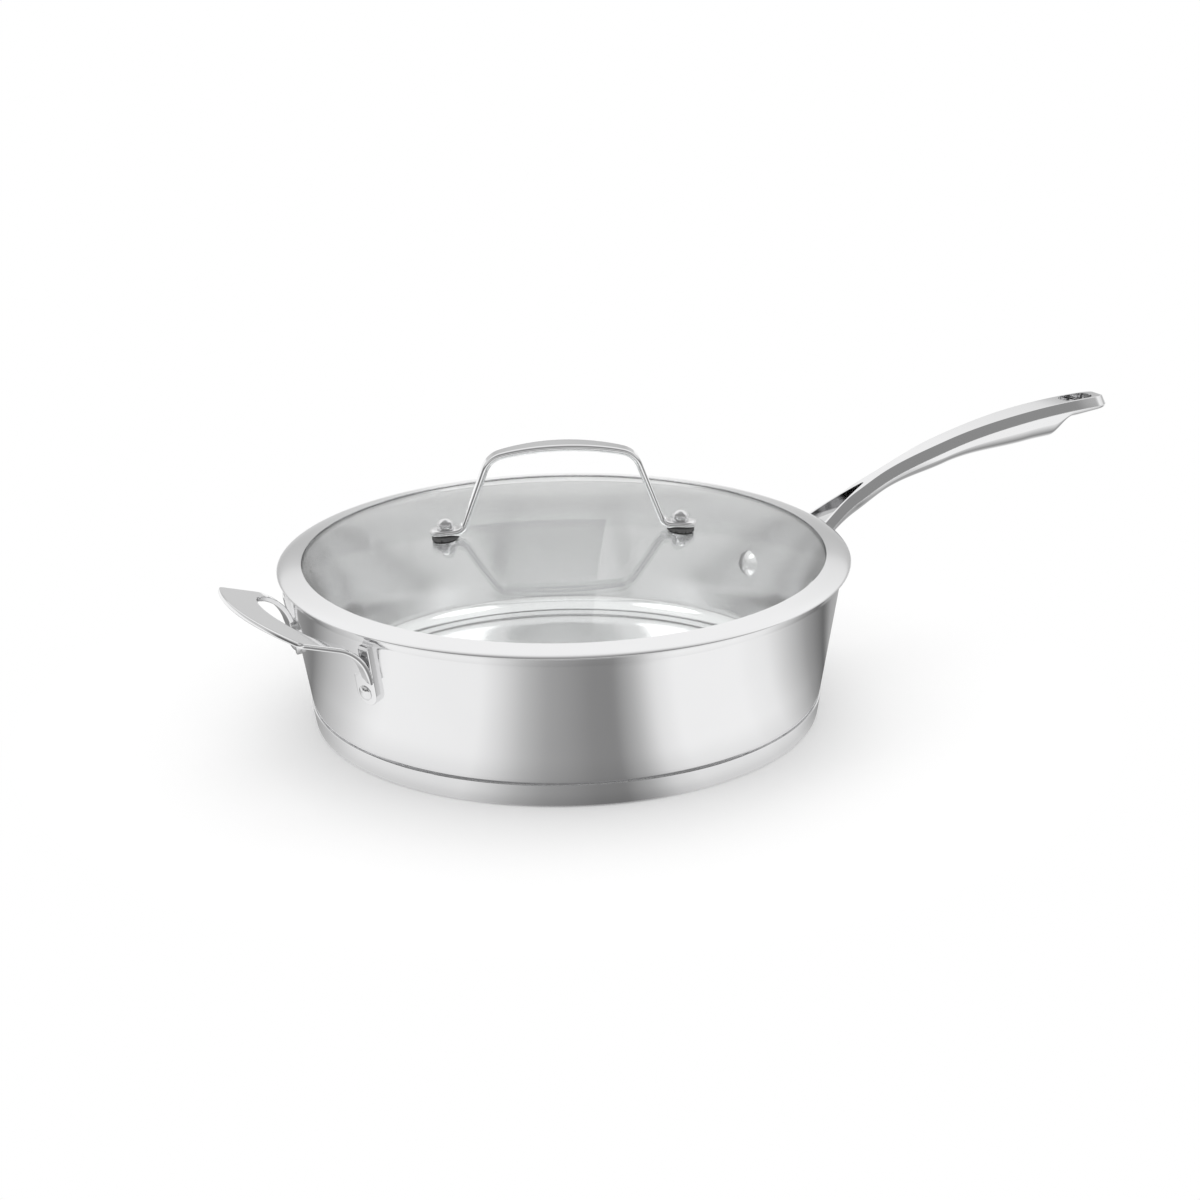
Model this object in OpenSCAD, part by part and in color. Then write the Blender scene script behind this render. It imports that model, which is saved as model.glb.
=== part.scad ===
// Saute pan with a long handle, a helper handle and a glass lid in a steel rim.
// Millimetres. Origin at the centre of the resting face, +Z up, +X along the long handle.

/* [Pan] */
// Height from the resting face to the top of the lip
pan_h = 84.2; // [70:0.2:100]
// Outer diameter of the wall's cone where it would meet the resting face
wall_base_d = 269; // [250:1:280]
// Outer diameter of the wall's cone at the level where the lip flares
wall_top_d = 295; // [270:1:330]
// Distance that the flared lip stands out past the wall
lip_flare = 3.1; // [2:0.1:4.5]
// Height of the flared part of the lip
lip_h = 5.4; // [4:0.2:8]
// Bend radius between wall and lip
lip_bend_r = 6; // [4:0.5:8]
// Thickness of the pan's sheet
sheet_t = 0.9; // [0.7:0.1:1.4]
// Bend radius between floor and wall, outside
corner_r = 12; // [8:1:16]

/* [Base] */
// Thickness of the sealed aluminium disc
core_t = 5.3; // [4:0.1:7]
// Height of the base cap
cap_h = 12.6; // [9:0.2:16]
// Thickness of the base cap's sheet
cap_t = 0.7; // [0.5:0.1:1]
// Bend radius of the base cap's lower edge, outside
cap_corner_r = 3; // [2:0.5:4]

/* [Long handle] */
// Level distance from the wall's upper end to the tip of the handle
handle_l = 221.5; // [200:0.5:250]
// Height of the top face at the tip
tip_z = 119.8; // [105:0.2:130]
// Height of the handle's top face where it meets the fork's rails
root_z = 69; // [64:1:72]
// Distance from the tip to where the grip starts to swell
grip_l = 120; // [100:1:135]
// Distance from the tip to where the belly is fullest
belly_l = 60; // [54:1:75]
// Distance from the tip to the start of the step that ends the belly
belly_end_l = 42.5; // [38:0.5:50]
// Length of the thin tongue at the tip
tongue_l = 29; // [24:0.5:34]
// Half width of the flat top face at the grip
grip_half_w = 6.8; // [6:0.2:9]
// Sideways run of the sloping shoulder below the top face
shoulder_run = 3.8; // [2.5:0.1:5]
// Drop of the sloping shoulder
shoulder_drop = 4.8; // [3.5:0.1:6]
// Depth of the belly at its fullest
belly_depth = 19.4; // [16:0.1:22]
// Depth of the thin tongue at the tip
tongue_depth = 9.2; // [7:0.1:11]
// Depth at the waist, behind the fork
waist_depth = 11.4; // [10:0.1:13]
// Half width of the top face at the waist
waist_half_w = 3.1; // [2.8:0.1:4.5]
// Level distance from the wall's upper end to the tip of the fork's slot
fork_l = 48; // [42:0.5:56]
// Width of the fork's slot at its tip
slot_tip_w = 1.6; // [1:0.1:3]
// Half width of the fork's slot at the pan's wall
fork_half_gap = 10.9; // [9:0.1:13]
// Width of the hanging hole
hang_w = 8; // [6:0.5:9]
// Length of the hanging hole
hang_l = 9; // [8.5:0.5:13]
// Distance from the tip to the middle of the hanging hole
hang_inset = 16.5; // [14:0.5:20]
// Slope of the pocket's floor that leads down to the hanging hole
hang_ramp_a = 14; // [8:1:20]

/* [Handle feet] */
// Thickness of the feet on the wall
foot_t = 3.2; // [2.5:0.1:4.5]
// Distance of the long handle's rivets from its middle plane
long_rivet_y = 31; // [26:0.5:36]
// Height of the long handle's rivets above the resting face
long_rivet_z = 46; // [42:0.5:50]
// Width of the long handle's feet
long_foot_w = 19; // [16:0.5:24]
// Distance of the helper's rivets from its middle plane
helper_rivet_y = 42; // [38:0.5:45]
// Height of the helper's rivets above the resting face
helper_rivet_z = 52.5; // [46:0.5:54]
// Width of the helper's feet
helper_foot_w = 14; // [11:0.5:15]
// Distance that the middle of each helper foot lies outward of its rivet
helper_foot_shift = 0.5; // [0:0.5:2]
// Width of the upright tab above each helper foot
tab_w = 7.6; // [6:0.2:9]
// Gap between the top of the tab and the start of the lip
tab_gap = 0.6; // [0.4:0.1:4]

/* [Rivets] */
// Shank diameter
rivet_d = 6; // [5:0.2:7]
// Diameter of the heads inside the pan
inner_head_d = 14.4; // [12:0.2:16]
// Height of the heads inside the pan
inner_head_h = 2.8; // [2:0.1:4]
// Diameter of the heads on the feet
outer_head_d = 8.2; // [7.6:0.2:9]
// Height of the heads on the feet
outer_head_h = 2.2; // [1.5:0.1:3]

/* [Helper handle] */
// Level distance from the wall's upper end to the outer edge of the grip
helper_l = 39.5; // [34:0.5:48]
// Width of the grip, from its outer edge to the finger gap
helper_grip_w = 18; // [14:0.5:20]
// Half of the helper's width at its corners
helper_half_w = 50.5; // [47:0.5:54]
// Distance that the corners lie back from the middle of the grip
helper_bow = 10; // [6:0.5:13]
// Radius of the loop's outer corners
helper_corner_r = 3; // [1:0.5:6]
// Corner radius of the finger gap
helper_gap_r = 14; // [8:0.5:16]
// Thickness of the strap
helper_t = 2.7; // [2.2:0.1:3]
// Height above the rivets at which the legs would bend without a radius
helper_knee_h = 23; // [20:0.5:28]
// Width of the legs
helper_leg_w = 9; // [7:0.5:11]
// Angle of the grip above the level
helper_rise_a = 18; // [14:1:28]
// Inside bend radius from foot to grip
helper_bend_r = 24; // [15:1:26]

/* [Lid] */
// Distance that the lid's steel rim stands out past the pan's lip
lid_overhang = 1.9; // [1.2:0.1:3.5]
// Width of the steel band seen from above
band_w = 13.1; // [11.5:0.1:16]
// Thickness of the rim's sheet
rim_t = 0.6; // [0.4:0.1:0.8]
// Thickness of the rolled edge
roll_t = 1.4; // [1.3:0.1:2.2]
// Gap between lip and lid
lid_gap = 0.3; // [0.2:0.05:0.6]
// Gap between the lid's skirt and the wall, measured at the level of the lip's bend
skirt_gap = 1.3; // [1:0.1:2.5]
// Thickness of the skirt, which is hemmed double
skirt_t = 1; // [0.8:0.1:1.4]
// How far the skirt reaches down into the pan, below the lid's seat
skirt_h = 3.9; // [3:0.1:6]
// Thickness of the glass
glass_t = 4; // [3:0.5:5]
// Height of the dome from the edge of the glass to its middle
dome_rise = 14.3; // [8:0.1:22]
// Gap between the edge of the glass and its channel
glass_gap = 0.3; // [0.2:0.1:0.6]
// Height of the lid's seat above the lower edge of the glass
glass_sink = 1.4; // [1:0.1:2]
// Width of the ledge under the glass
ledge_w = 3; // [2:0.2:4]

/* [Lid handle] */
// Direction of the lid handle as the lid lies, from the long handle
lid_turn = -26.5; // [-60:0.5:60]
// Distance of the screws from the lid's axis
lid_screw_u = 62.5; // [58:0.5:68]
// Height of the strap's top above the underside of its feet
lid_handle_h = 48.6; // [42:0.2:58]
// Half of the strap's span at its shoulders, to the middle of the strap
lid_shoulder_u = 38.5; // [32:0.5:42]
// Crown of the strap between the shoulders
lid_crown = 5.3; // [2:0.1:6]
// Thickness of the strap
strap_t = 3.4; // [2.6:0.1:4]
// Width of the strap at its middle
strap_w = 13.6; // [11.6:0.2:18]
// Width of the strap's legs
strap_leg_w = 8.6; // [7.4:0.2:11]
// Width of the strap's feet
strap_foot_w = 12.6; // [11:0.2:15]
// Distance from each screw's axis to the outer end of its foot
strap_toe = 8.3; // [7:0.1:10]
// Bend radius at the strap's ankles, to the middle of the strap
ankle_r = 6.5; // [4:0.5:8]
// Bend radius at the strap's shoulders, to the middle of the strap
shoulder_r = 12; // [8:0.5:14]
// Shank diameter of the screws
screw_d = 5; // [4:0.5:5.5]
// Diameter of the screw heads
screw_head_d = 8.6; // [8:0.2:10]
// Height of the screw heads
screw_head_h = 5.6; // [3.5:0.1:6.5]
// Diameter of the holes in the glass
glass_hole_d = 8; // [7.5:0.5:9]
// Diameter of the grommets' flanges
grommet_d = 14.5; // [12:0.5:16]
// Thickness of the grommets' flanges at the screw's inner side
grommet_t = 1.1; // [0.8:0.1:2]
// Thickness of the washers under the glass, at their rim
washer_t = 1.4; // [1:0.1:2]
// Diameter of the washers under the glass
washer_d = 13; // [11.5:0.5:15]
// Width of the cap nuts
nut_d = 9; // [8:0.2:11]
// Height of the cap nuts
nut_h = 6; // [5:0.2:8]
// Thickness of the cap nuts' closed ends
nut_end_t = 1.5; // [1:0.1:2]

/* [Hidden] */
$fn = 96;

steel = "#c9cbcd";
bright_steel = "#dcdee0";
aluminium = "#b4b6b9";
glass_tint = "#cfe0dd";
dark_rubber = "#3a3b3d";

// Paths and outlines

function unit(v) = v / norm(v);
function reverse(list) = [for (i = [len(list) - 1:-1:0]) list[i]];
function mix(a, b, k) = a + (b - a) * k;
function smooth(k) = let (c = min(1, max(0, k))) c * c * (3 - 2 * c);
function arc(centre, r, a0, a1, steps) =
    [for (i = [0:steps]) let (a = mix(a0, a1, i / steps)) centre + r * [cos(a), sin(a)]];
// Round bend of radius r in place of the corner b between a and c
function corner(a, b, c, r, steps) =
    let (u = unit(a - b), v = unit(c - b), half = acos(u * v) / 2)
    let (centre = b + unit(u + v) * r / sin(half), p = b + u * r / tan(half) - centre)
    let (q = b + v * r / tan(half) - centre, a0 = atan2(p.y, p.x), turn = atan2(q.y, q.x) - a0)
    arc(centre, r, a0, a0 + (turn > 180 ? turn - 360 : turn < -180 ? turn + 360 : turn), steps);
// Polyline through the points with a round bend at each inner one
function bent(points, radii, steps = 6) = concat([points[0]],
    [for (i = [1:len(points) - 2]) each corner(points[i - 1], points[i], points[i + 1], radii[i - 1], steps)],
    [points[len(points) - 1]]);
function left_of(d) = [-d.y, d.x];
// Path moved sideways by d, to its left where d is positive
function shifted(path, d) = [for (i = [0:len(path) - 1])
    let (before = i > 0 ? unit(path[i] - path[i - 1]) : unit(path[1] - path[0]))
    let (after = i < len(path) - 1 ? unit(path[i + 1] - path[i]) : before)
    let (n = unit(left_of(before) + left_of(after)))
    path[i] + n * d / (n * left_of(after))];
// Outline of a sheet of thickness t that lies left of its path
function sheet_outline(path, t) = concat(path, reverse(shifted(path, t)));
// Outline of a strap of thickness t with the path in its middle
function strap_outline(path, t) = concat(shifted(path, -t / 2), reverse(shifted(path, t / 2)));
function bezier(p, k) = let (m = 1 - k)
    m * m * m * p[0] + 3 * m * m * k * p[1] + 3 * m * k * k * p[2] + k * k * k * p[3];

// Closed solid through rings of equally many points
module loft(rings) {
    n = len(rings[0]);
    last = len(rings) - 1;
    points = [for (ring = rings) each ring];
    sides = [for (j = [0:last - 1], i = [0:n - 1])
        let (a = j * n + i, b = j * n + (i + 1) % n)
        each [[a, b, b + n], [a, b + n, a + n]]];
    first_cap = [for (i = [1:n - 2]) [0, i + 1, i]];
    last_cap = [for (i = [1:n - 2]) [last * n, last * n + i, last * n + i + 1]];
    polyhedron(points, concat(sides, first_cap, last_cap));
}

// Pan and base

core_top = cap_t + core_t;
lip_d = wall_top_d + 2 * lip_flare;
lip_start_z = pan_h - lip_h;
wall_taper = (wall_top_d - wall_base_d) / 2 / lip_start_z;
wall_tilt = atan(wall_taper);
function wall_r(z) = wall_base_d / 2 + wall_taper * z;
// Thickness of a sheet on the wall, measured level
function level(t) = t / cos(wall_tilt);
// Outer line of the pan's sheet, from the middle of the floor to the lip
lip_end = [lip_d / 2, pan_h - sheet_t / 2];
pan_line = bent([[0, core_top], [wall_r(core_top), core_top], [wall_r(lip_start_z), lip_start_z], lip_end],
    [corner_r, lip_bend_r], 8);
cap_line = bent([[0, 0], [wall_r(0) + level(cap_t), 0], [wall_r(cap_h) + level(cap_t), cap_h]],
    [cap_corner_r], 6);

// Cone of the wall's outer face, thickened by extra
module wall_cone(extra = 0) {
    side = [for (z = [0, lip_start_z]) [wall_r(z) + extra, z]];
    rotate_extrude($fn = 360) polygon(concat([[0, 0]], side, [[0, lip_start_z]]));
}

module pan_body() {
    color(bright_steel)
        difference() {
            rotate_extrude() polygon(sheet_outline(pan_line, sheet_t));
            rivet_bores();
        }
}

module base_cap() {
    color(bright_steel) rotate_extrude() polygon(sheet_outline(cap_line, cap_t));
}

// The disc fills what lies between the cap and the pan's floor
module base_core() {
    inside = shifted(cap_line, cap_t);
    color(aluminium)
        rotate_extrude()
            difference() {
                polygon(concat(inside, [[0, cap_h]]));
                polygon(concat(pan_line, [[0, pan_h]]));
            }
}

// Rivets and feet

function side_angle(y, z) = asin(y / wall_r(z));
// Depth of the flat seats that are cut into the feet for the heads, and the gap round the heads
seat_cut = 0.2;
seat_gap = 0.3;

// Places children on the wall's outer face, +Z out of it, +X down it and +Y along it
module on_wall(azimuth, z) {
    rotate(azimuth) translate([wall_r(z), 0, z]) rotate([0, 90 + wall_tilt, 0]) children();
}

// Places children at both rivets of a handle that points along the angle
module at_rivets(angle, y, z) {
    for (side = [-1, 1]) on_wall(angle + side * side_angle(y, z), z) children();
}

// Both handles' rivet bores through wall and feet, with the seats for the outer heads
module rivet_bores() {
    at_rivets(0, long_rivet_y, long_rivet_z) rivet_bore();
    at_rivets(180, helper_rivet_y, helper_rivet_z) rivet_bore();
}

module rivet_bore() {
    translate([0, 0, -5 * sheet_t]) cylinder(d = rivet_d, h = 5 * sheet_t + foot_t);
    translate([0, 0, foot_t - seat_cut]) cylinder(d = outer_head_d + 2 * seat_gap, h = 4 * foot_t);
}

// Dome on an upright edge, which takes up a share of its height
module dome_head(d, h, share = 0.25) {
    edge = h * share;
    rise = h - edge;
    r = (d * d / 4 + rise * rise) / (2 * rise);
    a = asin(d / 2 / r);
    rotate_extrude() polygon(concat([[0, 0], [d / 2, 0]], arc([0, h - r], r, 90 - a, 90, 8)));
}

// Two rivets whose heads lie on the foot's flat seat outside and on the wall's curve inside
module rivet_pair(angle, y, z) {
    at_rivets(angle, y, z) {
        translate([0, 0, -2 * sheet_t]) cylinder(d = rivet_d, h = 2 * sheet_t + foot_t);
        translate([0, 0, foot_t - seat_cut]) dome_head(outer_head_d, outer_head_h);
    }
    intersection() {
        at_rivets(angle, y, z) mirror([0, 0, 1]) dome_head(inner_head_d, sheet_t + inner_head_h);
        wall_cone(-level(sheet_t));
    }
}

module long_handle_rivets() {
    color(steel) rivet_pair(0, long_rivet_y, long_rivet_z);
}

module helper_handle_rivets() {
    color(steel) rivet_pair(180, helper_rivet_y, helper_rivet_z);
}

// Blanks of feet, cut to the curve that the feet have outside
module wall_plate() {
    intersection() {
        wall_cone(level(foot_t));
        children();
    }
}

// Outline with round ends
module obround(length, w) {
    for (end = [-1, 1]) translate([end * (length - w) / 2, 0]) circle(d = w);
    square([length - w, w], center = true);
}

// Long handle

handle_reach = wall_top_d / 2 + handle_l;
fork_apex = wall_top_d / 2 + fork_l;
// Top line: how far from the wall it starts, and how far its ends pull it along
root_stand = 4;
root_pull = [45, 31];
tip_pull = [-104, 4.4];
root_x = wall_r(root_z) + root_stand;
handle_curve = [[root_x, root_z], [root_x, root_z] + root_pull, [handle_reach, tip_z] + tip_pull,
    [handle_reach, tip_z]];
// Lengths from the slot's tip to the rails' ends and to the throat, and on to the slimmest point of the neck
rail_l = 40;
throat_l = 8;
neck_l = 14;
// How much narrower or wider the top face is at the rails, the throat, the grip's start and the tip
rail_inset = 0.6;
throat_spread = 1.2;
swell_inset = 1.6;
tip_inset = 0.6;
// Share of the belly's extra depth that is there where the grip starts
swell_share = 0.4;
// How much deeper or shallower the handle is at the throat, the belly's end, the tongue's start and the tip
throat_extra = 1;
belly_end_extra = 0.4;
tongue_extra = 1.2;
tip_less = 0.8;
// Stations along the handle, each its distance from the pan's axis, half width of the top face and depth
handle_stations = [
    [fork_apex - rail_l, fork_half_gap - rail_inset, waist_depth],
    [fork_apex - throat_l, waist_half_w + throat_spread, waist_depth + throat_extra],
    [fork_apex + neck_l, waist_half_w, waist_depth],
    [handle_reach - grip_l, grip_half_w - swell_inset, mix(waist_depth, belly_depth, swell_share)],
    [handle_reach - belly_l, grip_half_w, belly_depth],
    [handle_reach - belly_end_l, grip_half_w, belly_depth + belly_end_extra],
    [handle_reach - tongue_l, grip_half_w, tongue_depth + tongue_extra],
    [handle_reach, grip_half_w - tip_inset, tongue_depth - tip_less]];
// Smooth value of column k of the stations at distance x
function station(x, k, i = 0) =
    i < len(handle_stations) - 2 && x > handle_stations[i + 1][0] ? station(x, k, i + 1) :
    let (a = handle_stations[i], b = handle_stations[i + 1])
    mix(a[k], b[k], smooth((x - a[0]) / (b[0] - a[0])));
// Length over which the tip is rounded in plan, and the least width of the top face there
tip_r = 11;
tip_edge = 0.3;
// Share of the shoulder's drop by which the top face has come down at the very tip
tip_slope = 0.85;
function round_end(x) = let (k = max(0, (x - handle_reach + tip_r) / tip_r)) sqrt(1 - k * k);
belly_steps = 5;
// Cross-section at a point of the handle's curve: flat top, sloping shoulders and round belly
function handle_ring(at) =
    let (end = round_end(at.x), outer = (station(at.x, 1) + shoulder_run) * end, d = station(at.x, 2))
    let (flat = max(tip_edge, outer - shoulder_run * sqrt(end)), drop = min(shoulder_drop, 0.8 * d))
    let (sink = tip_slope * drop * max(0, 1 - (handle_reach - at.x) / shoulder_run))
    let (half = concat([[flat, -sink]], [for (i = [0:belly_steps]) let (a = 90 * i / belly_steps)
        [outer * (i < belly_steps ? cos(a) : 0), -drop - (d - drop) * sin(a)]]))
    [for (p = concat(half, [for (i = [belly_steps:-1:0]) [-half[i].x, half[i].y]])) [at.x, p.x, at.y + p.y]];
// Part of the curve that the loft runs over, with its rings closer together towards the tip
handle_steps = 40;
loft_start = 0.08;
loft_end = 0.9995;
crowding = 1.25;
handle_rings = [for (i = [0:handle_steps]) handle_ring(bezier(handle_curve,
    mix(loft_start, loft_end, 1 - pow(1 - i / handle_steps, crowding))))];

// Fork legs: from the rails at the slot's sides down and outward to the feet
leg_steps = 14;
leg_back = 30;
leg_inset = 1;
leg_rise = 4;
leg_from = [fork_apex - leg_back, fork_half_gap - leg_inset, root_z + leg_rise];
leg_from_pull = [-13, 2, -9];
leg_foot_pull = [7, -7, 15];
leg_half = [3.4, 5.8];
// Distance between a rivet's head and the end of the leg above it
leg_clear = 4.5;
leg_land = outer_head_d / 2 + leg_clear;
foot_angle = side_angle(long_rivet_y, long_rivet_z);
function leg_curve(side) =
    let (z = long_rivet_z + leg_land, r = wall_r(z) + foot_t / 2)
    let (foot = [r * cos(foot_angle), side * long_rivet_y, z])
    let (from = to_side(leg_from, side))
    [from, from + to_side(leg_from_pull, side), foot + to_side(leg_foot_pull, side), foot];
function to_side(p, side) = [p.x, side * p.y, p.z];
leg_ends_half = [long_foot_w / 2 - leg_inset, foot_t / 2];
// Cross-section of a leg, whose inner face turns from below towards the wall on its way down
function leg_ring(side, k) =
    let (c = leg_curve(side), d = 1 / leg_steps / 4)
    let (along = unit(bezier(c, min(1, k + d)) - bezier(c, max(0, k - d))))
    let (wallward = [-cos(foot_angle), -side * sin(foot_angle), 0])
    let (across = unit(cross(mix([0, 0, 1], wallward, k), along)), up = cross(across, along))
    let (half = mix(leg_half, leg_ends_half, smooth(k)))
    [for (a = [0:30:330]) bezier(c, k) + across * half.x * squared(cos(a)) + up * half.y * squared(sin(a))];
// Blunter than a round, for sections between an ellipse and a rectangle
function squared(v) = sign(v) * pow(abs(v), 0.7);

// Open slot between the fork's rails, cut on into the wall with its sides still spreading
slot_in = 6;
slot_spread = 2;
module handle_slot() {
    tip_x = fork_apex - slot_tip_w / 2;
    end_x = wall_r(root_z) - slot_in;
    end_half = fork_half_gap + slot_spread;
    translate([0, 0, long_rivet_z]) linear_extrude(tip_z - long_rivet_z) {
        translate([tip_x, 0]) circle(d = slot_tip_w);
        polygon([[tip_x, slot_tip_w / 2], [end_x, end_half], [end_x, -end_half], [tip_x, -slot_tip_w / 2]]);
    }
}

// Hole through the tongue, in a longer and wider pocket whose floor leads down to it from the root side
pocket_extra = 12.6;
pocket_side = 1.4;
pocket_back = 5;
pocket_sink = 2.2;
module hanging_hole() {
    hole_x = handle_reach - hang_inset;
    translate([hole_x, 0, tip_z - 2 * tongue_depth]) linear_extrude(4 * tongue_depth) obround(hang_l, hang_w);
    translate([hole_x - pocket_back, 0, tip_z - pocket_sink]) rotate([0, hang_ramp_a, 0])
        linear_extrude(2 * tongue_depth) obround(hang_l + pocket_extra, hang_w + 2 * pocket_side);
}

module long_handle() {
    color(steel)
        difference() {
            union() {
                loft(handle_rings);
                for (side = [-1, 1]) loft([for (i = [0:leg_steps]) leg_ring(side, i / leg_steps)]);
                wall_plate() at_rivets(0, long_rivet_y, long_rivet_z) long_foot();
            }
            handle_slot();
            hanging_hole();
            wall_cone();
            rivet_bores();
        }
}

// Blank of a foot, round at both ends and as high above its rivet as the leg's end
module long_foot() {
    length = long_foot_w + leg_land;
    translate([-leg_land / 2, 0, -foot_t]) linear_extrude(3 * foot_t) obround(length, long_foot_w);
}

// Helper handle

helper_reach = wall_top_d / 2 + helper_l;
// Height above the rivet heads at which the strap runs out into its feet
strap_land = 2;
// Share of the straight leg that its bend may take up
leg_share = 0.96;
foot_up = outer_head_d / 2 + 2 * strap_land;
// Side view of the strap's middle, from its foot on the wall to the edge of the grip
function helper_side() =
    let (out = foot_t - helper_t / 2, z = helper_rivet_z + outer_head_d / 2 + strap_land)
    let (foot = [wall_r(z) * cos(side_angle(helper_rivet_y, helper_rivet_z)) + level(out), z])
    let (rise = helper_rivet_z + helper_knee_h - z, knee = foot + [rise * wall_taper, rise])
    let (edge = [helper_reach, knee.y + (helper_reach - knee.x) * tan(helper_rise_a)])
    let (room = leg_share * norm(knee - foot) / tan((90 - wall_tilt - helper_rise_a) / 2))
    bent([foot, knee, edge], [min(helper_bend_r, room)], 12);

// Outline that runs out from a level start, its straight sides turning with radius r into a bow at its end
bow_ease = 1.2;
function bowed(half, centre_x, bow_r, r, start_x) =
    let (a = asin((half - bow_ease * r) / bow_r), edge = arc([centre_x, 0], bow_r, -a, a, 16))
    let (start = [start_x, -half], turn = [centre_x + sqrt(bow_r * bow_r - half * half), -half])
    let (side = concat([start], corner(start, turn, edge[0], r, 8)))
    concat(side, edge, [for (p = reverse(side)) [p.x, -p.y]]);

// Plan of the loop, its grip bowed outward and its finger gap open towards the wall
module helper_plan() {
    bow_r = (helper_half_w * helper_half_w + helper_bow * helper_bow) / (2 * helper_bow);
    centre_x = helper_reach - bow_r;
    inner_x = wall_r(0) / 2;
    gap_half = helper_half_w - helper_leg_w;
    difference() {
        polygon(bowed(helper_half_w, centre_x, bow_r, helper_corner_r, inner_x));
        polygon(bowed(gap_half, centre_x, bow_r - helper_grip_w, helper_gap_r, inner_x / 2));
    }
}

module helper_handle() {
    color(steel)
        difference() {
            union() {
                intersection() {
                    mirror([1, 0, 0]) linear_extrude(2 * pan_h) helper_plan();
                    rotate([90, 0, 180]) linear_extrude(4 * helper_half_w, center = true)
                        polygon(strap_outline(helper_side(), helper_t));
                }
                wall_plate() for (side = [-1, 1])
                    on_wall(180 + side * side_angle(helper_rivet_y, helper_rivet_z), helper_rivet_z)
                        helper_foot(side);
            }
            wall_cone();
            rivet_bores();
        }
}

// Blank of a foot with its upright tab, whose outer edges are in line
module helper_foot(side) {
    tab_up = (lip_start_z - tab_gap - helper_rivet_z) / cos(wall_tilt);
    translate([0, side * helper_foot_shift, -foot_t]) linear_extrude(3 * foot_t) {
        translate([-foot_up / 2, 0]) obround(helper_foot_w + foot_up, helper_foot_w);
        translate([-tab_up, side * (helper_foot_w - tab_w) / 2 - tab_w / 2]) square([tab_up, tab_w]);
    }
}

// Lid

lid_d = lip_d + 2 * lid_overhang;
seat_z = pan_h + lid_gap;
skirt_r = wall_r(lip_start_z) - level(sheet_t) - skirt_gap;
glass_r = skirt_r - skirt_t - glass_gap;
glass_edge_z = seat_z - glass_sink + glass_t;
dome_r = (glass_r * glass_r + dome_rise * dome_rise) / (2 * dome_rise);
// Height of the glass's top face at distance r from the axis
function glass_z(r) = let (d = dome_r * dome_r) glass_edge_z + sqrt(d - r * r) - sqrt(d - glass_r * glass_r);
band_r = lid_d / 2 - band_w;
glass_steps = 20;
// Radii at which the glass and what lies on it share their points
rim_radii = [band_r, (band_r + glass_r) / 2, glass_r];
glass_radii = concat([for (i = [0:glass_steps - 1]) band_r * i / glass_steps], rim_radii);
ledge_r = glass_r - ledge_w;

module glass_blank() {
    top = [for (r = glass_radii) [r, glass_z(r)]];
    bottom = [for (r = reverse(glass_radii)) [r, glass_z(r) - glass_t]];
    rotate_extrude() polygon(concat(top, bottom));
}

// Places children at both screws, on the lid's axis level
module at_screws() {
    for (side = [-1, 1]) rotate(lid_turn) translate([side * lid_screw_u, 0, 0]) children();
}

module drilled_glass() {
    difference() {
        glass_blank();
        at_screws() cylinder(d = glass_hole_d, h = 2 * pan_h);
    }
}

module lid_glass() {
    color(glass_tint, 0.35) drilled_glass();
}

// Steel strip rolled round the glass's edge, with its hemmed skirt and the ledge under the glass
module lid_rim() {
    roll = roll_t / 2;
    nose = lid_d / 2 - roll;
    channel_r = skirt_r - skirt_t;
    on_glass = [for (r = rim_radii) [r, glass_z(r)]];
    band_top = shifted(on_glass, rim_t);
    skirt_foot = seat_z - skirt_h;
    ledge_top = glass_z(glass_r) - glass_t;
    hollow = [[channel_r, glass_z(channel_r)], [nose, seat_z + roll_t - rim_t], [nose, seat_z + rim_t],
        [channel_r, seat_z + rim_t]];
    ledge = [[channel_r, ledge_top], [ledge_r, ledge_top], [ledge_r, ledge_top - rim_t],
        [channel_r, ledge_top - rim_t]];
    skirt = [[channel_r, skirt_foot], [skirt_r, skirt_foot], [skirt_r, seat_z]];
    edge = arc([nose, seat_z + roll], roll, -90, 90, 8);
    profile = concat(on_glass, hollow, ledge, skirt, edge, reverse(band_top));
    color(bright_steel) rotate_extrude() polygon(profile);
}

foot_z = glass_z(lid_screw_u - grommet_d / 2) + grommet_t;
// Distance between a foot's round inner end and the bend above it
ankle_gap = 3;

// Half of the strap's side view, to the middle of its thickness, from foot to crown
function strap_side() =
    let (level_z = foot_z + strap_t / 2, crown_z = foot_z + lid_handle_h - strap_t / 2)
    let (end_u = lid_screw_u + strap_toe, ankle_u = lid_screw_u - strap_foot_w / 2 - ankle_gap)
    let (crown_r = (lid_shoulder_u * lid_shoulder_u + lid_crown * lid_crown) / (2 * lid_crown))
    let (a = asin(lid_shoulder_u / crown_r), crown = arc([0, crown_z - crown_r], crown_r, 90 + a, 90 - a, 16))
    let (corners = [[-end_u, level_z], [-ankle_u, level_z], crown[0], crown[5]])
    let (left = concat(bent(corners, [ankle_r, shoulder_r], 8), [for (i = [6:8]) crown[i]]))
    concat(left, [for (i = [len(left) - 2:-1:0]) [-left[i].x, left[i].y]]);

// Plan of the strap, wide at its crown, slim at its legs and round at its feet
foot_turn = 110;
taper_steps = 12;
module strap_plan() {
    foot_r = strap_foot_w / 2;
    leg_u = lid_screw_u - foot_r - ankle_gap;
    taper = [for (i = [0:taper_steps]) let (k = i / taper_steps)
        [leg_u * k, mix(strap_w, strap_leg_w, smooth(k)) / 2]];
    half = concat(taper, arc([lid_screw_u + strap_toe - foot_r, 0], foot_r, foot_turn, 0, 10));
    upper = concat([for (i = [len(half) - 1:-1:1]) [-half[i].x, half[i].y]], half);
    polygon(concat(upper, [for (i = [len(upper) - 2:-1:1]) [upper[i].x, -upper[i].y]]));
}

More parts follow.
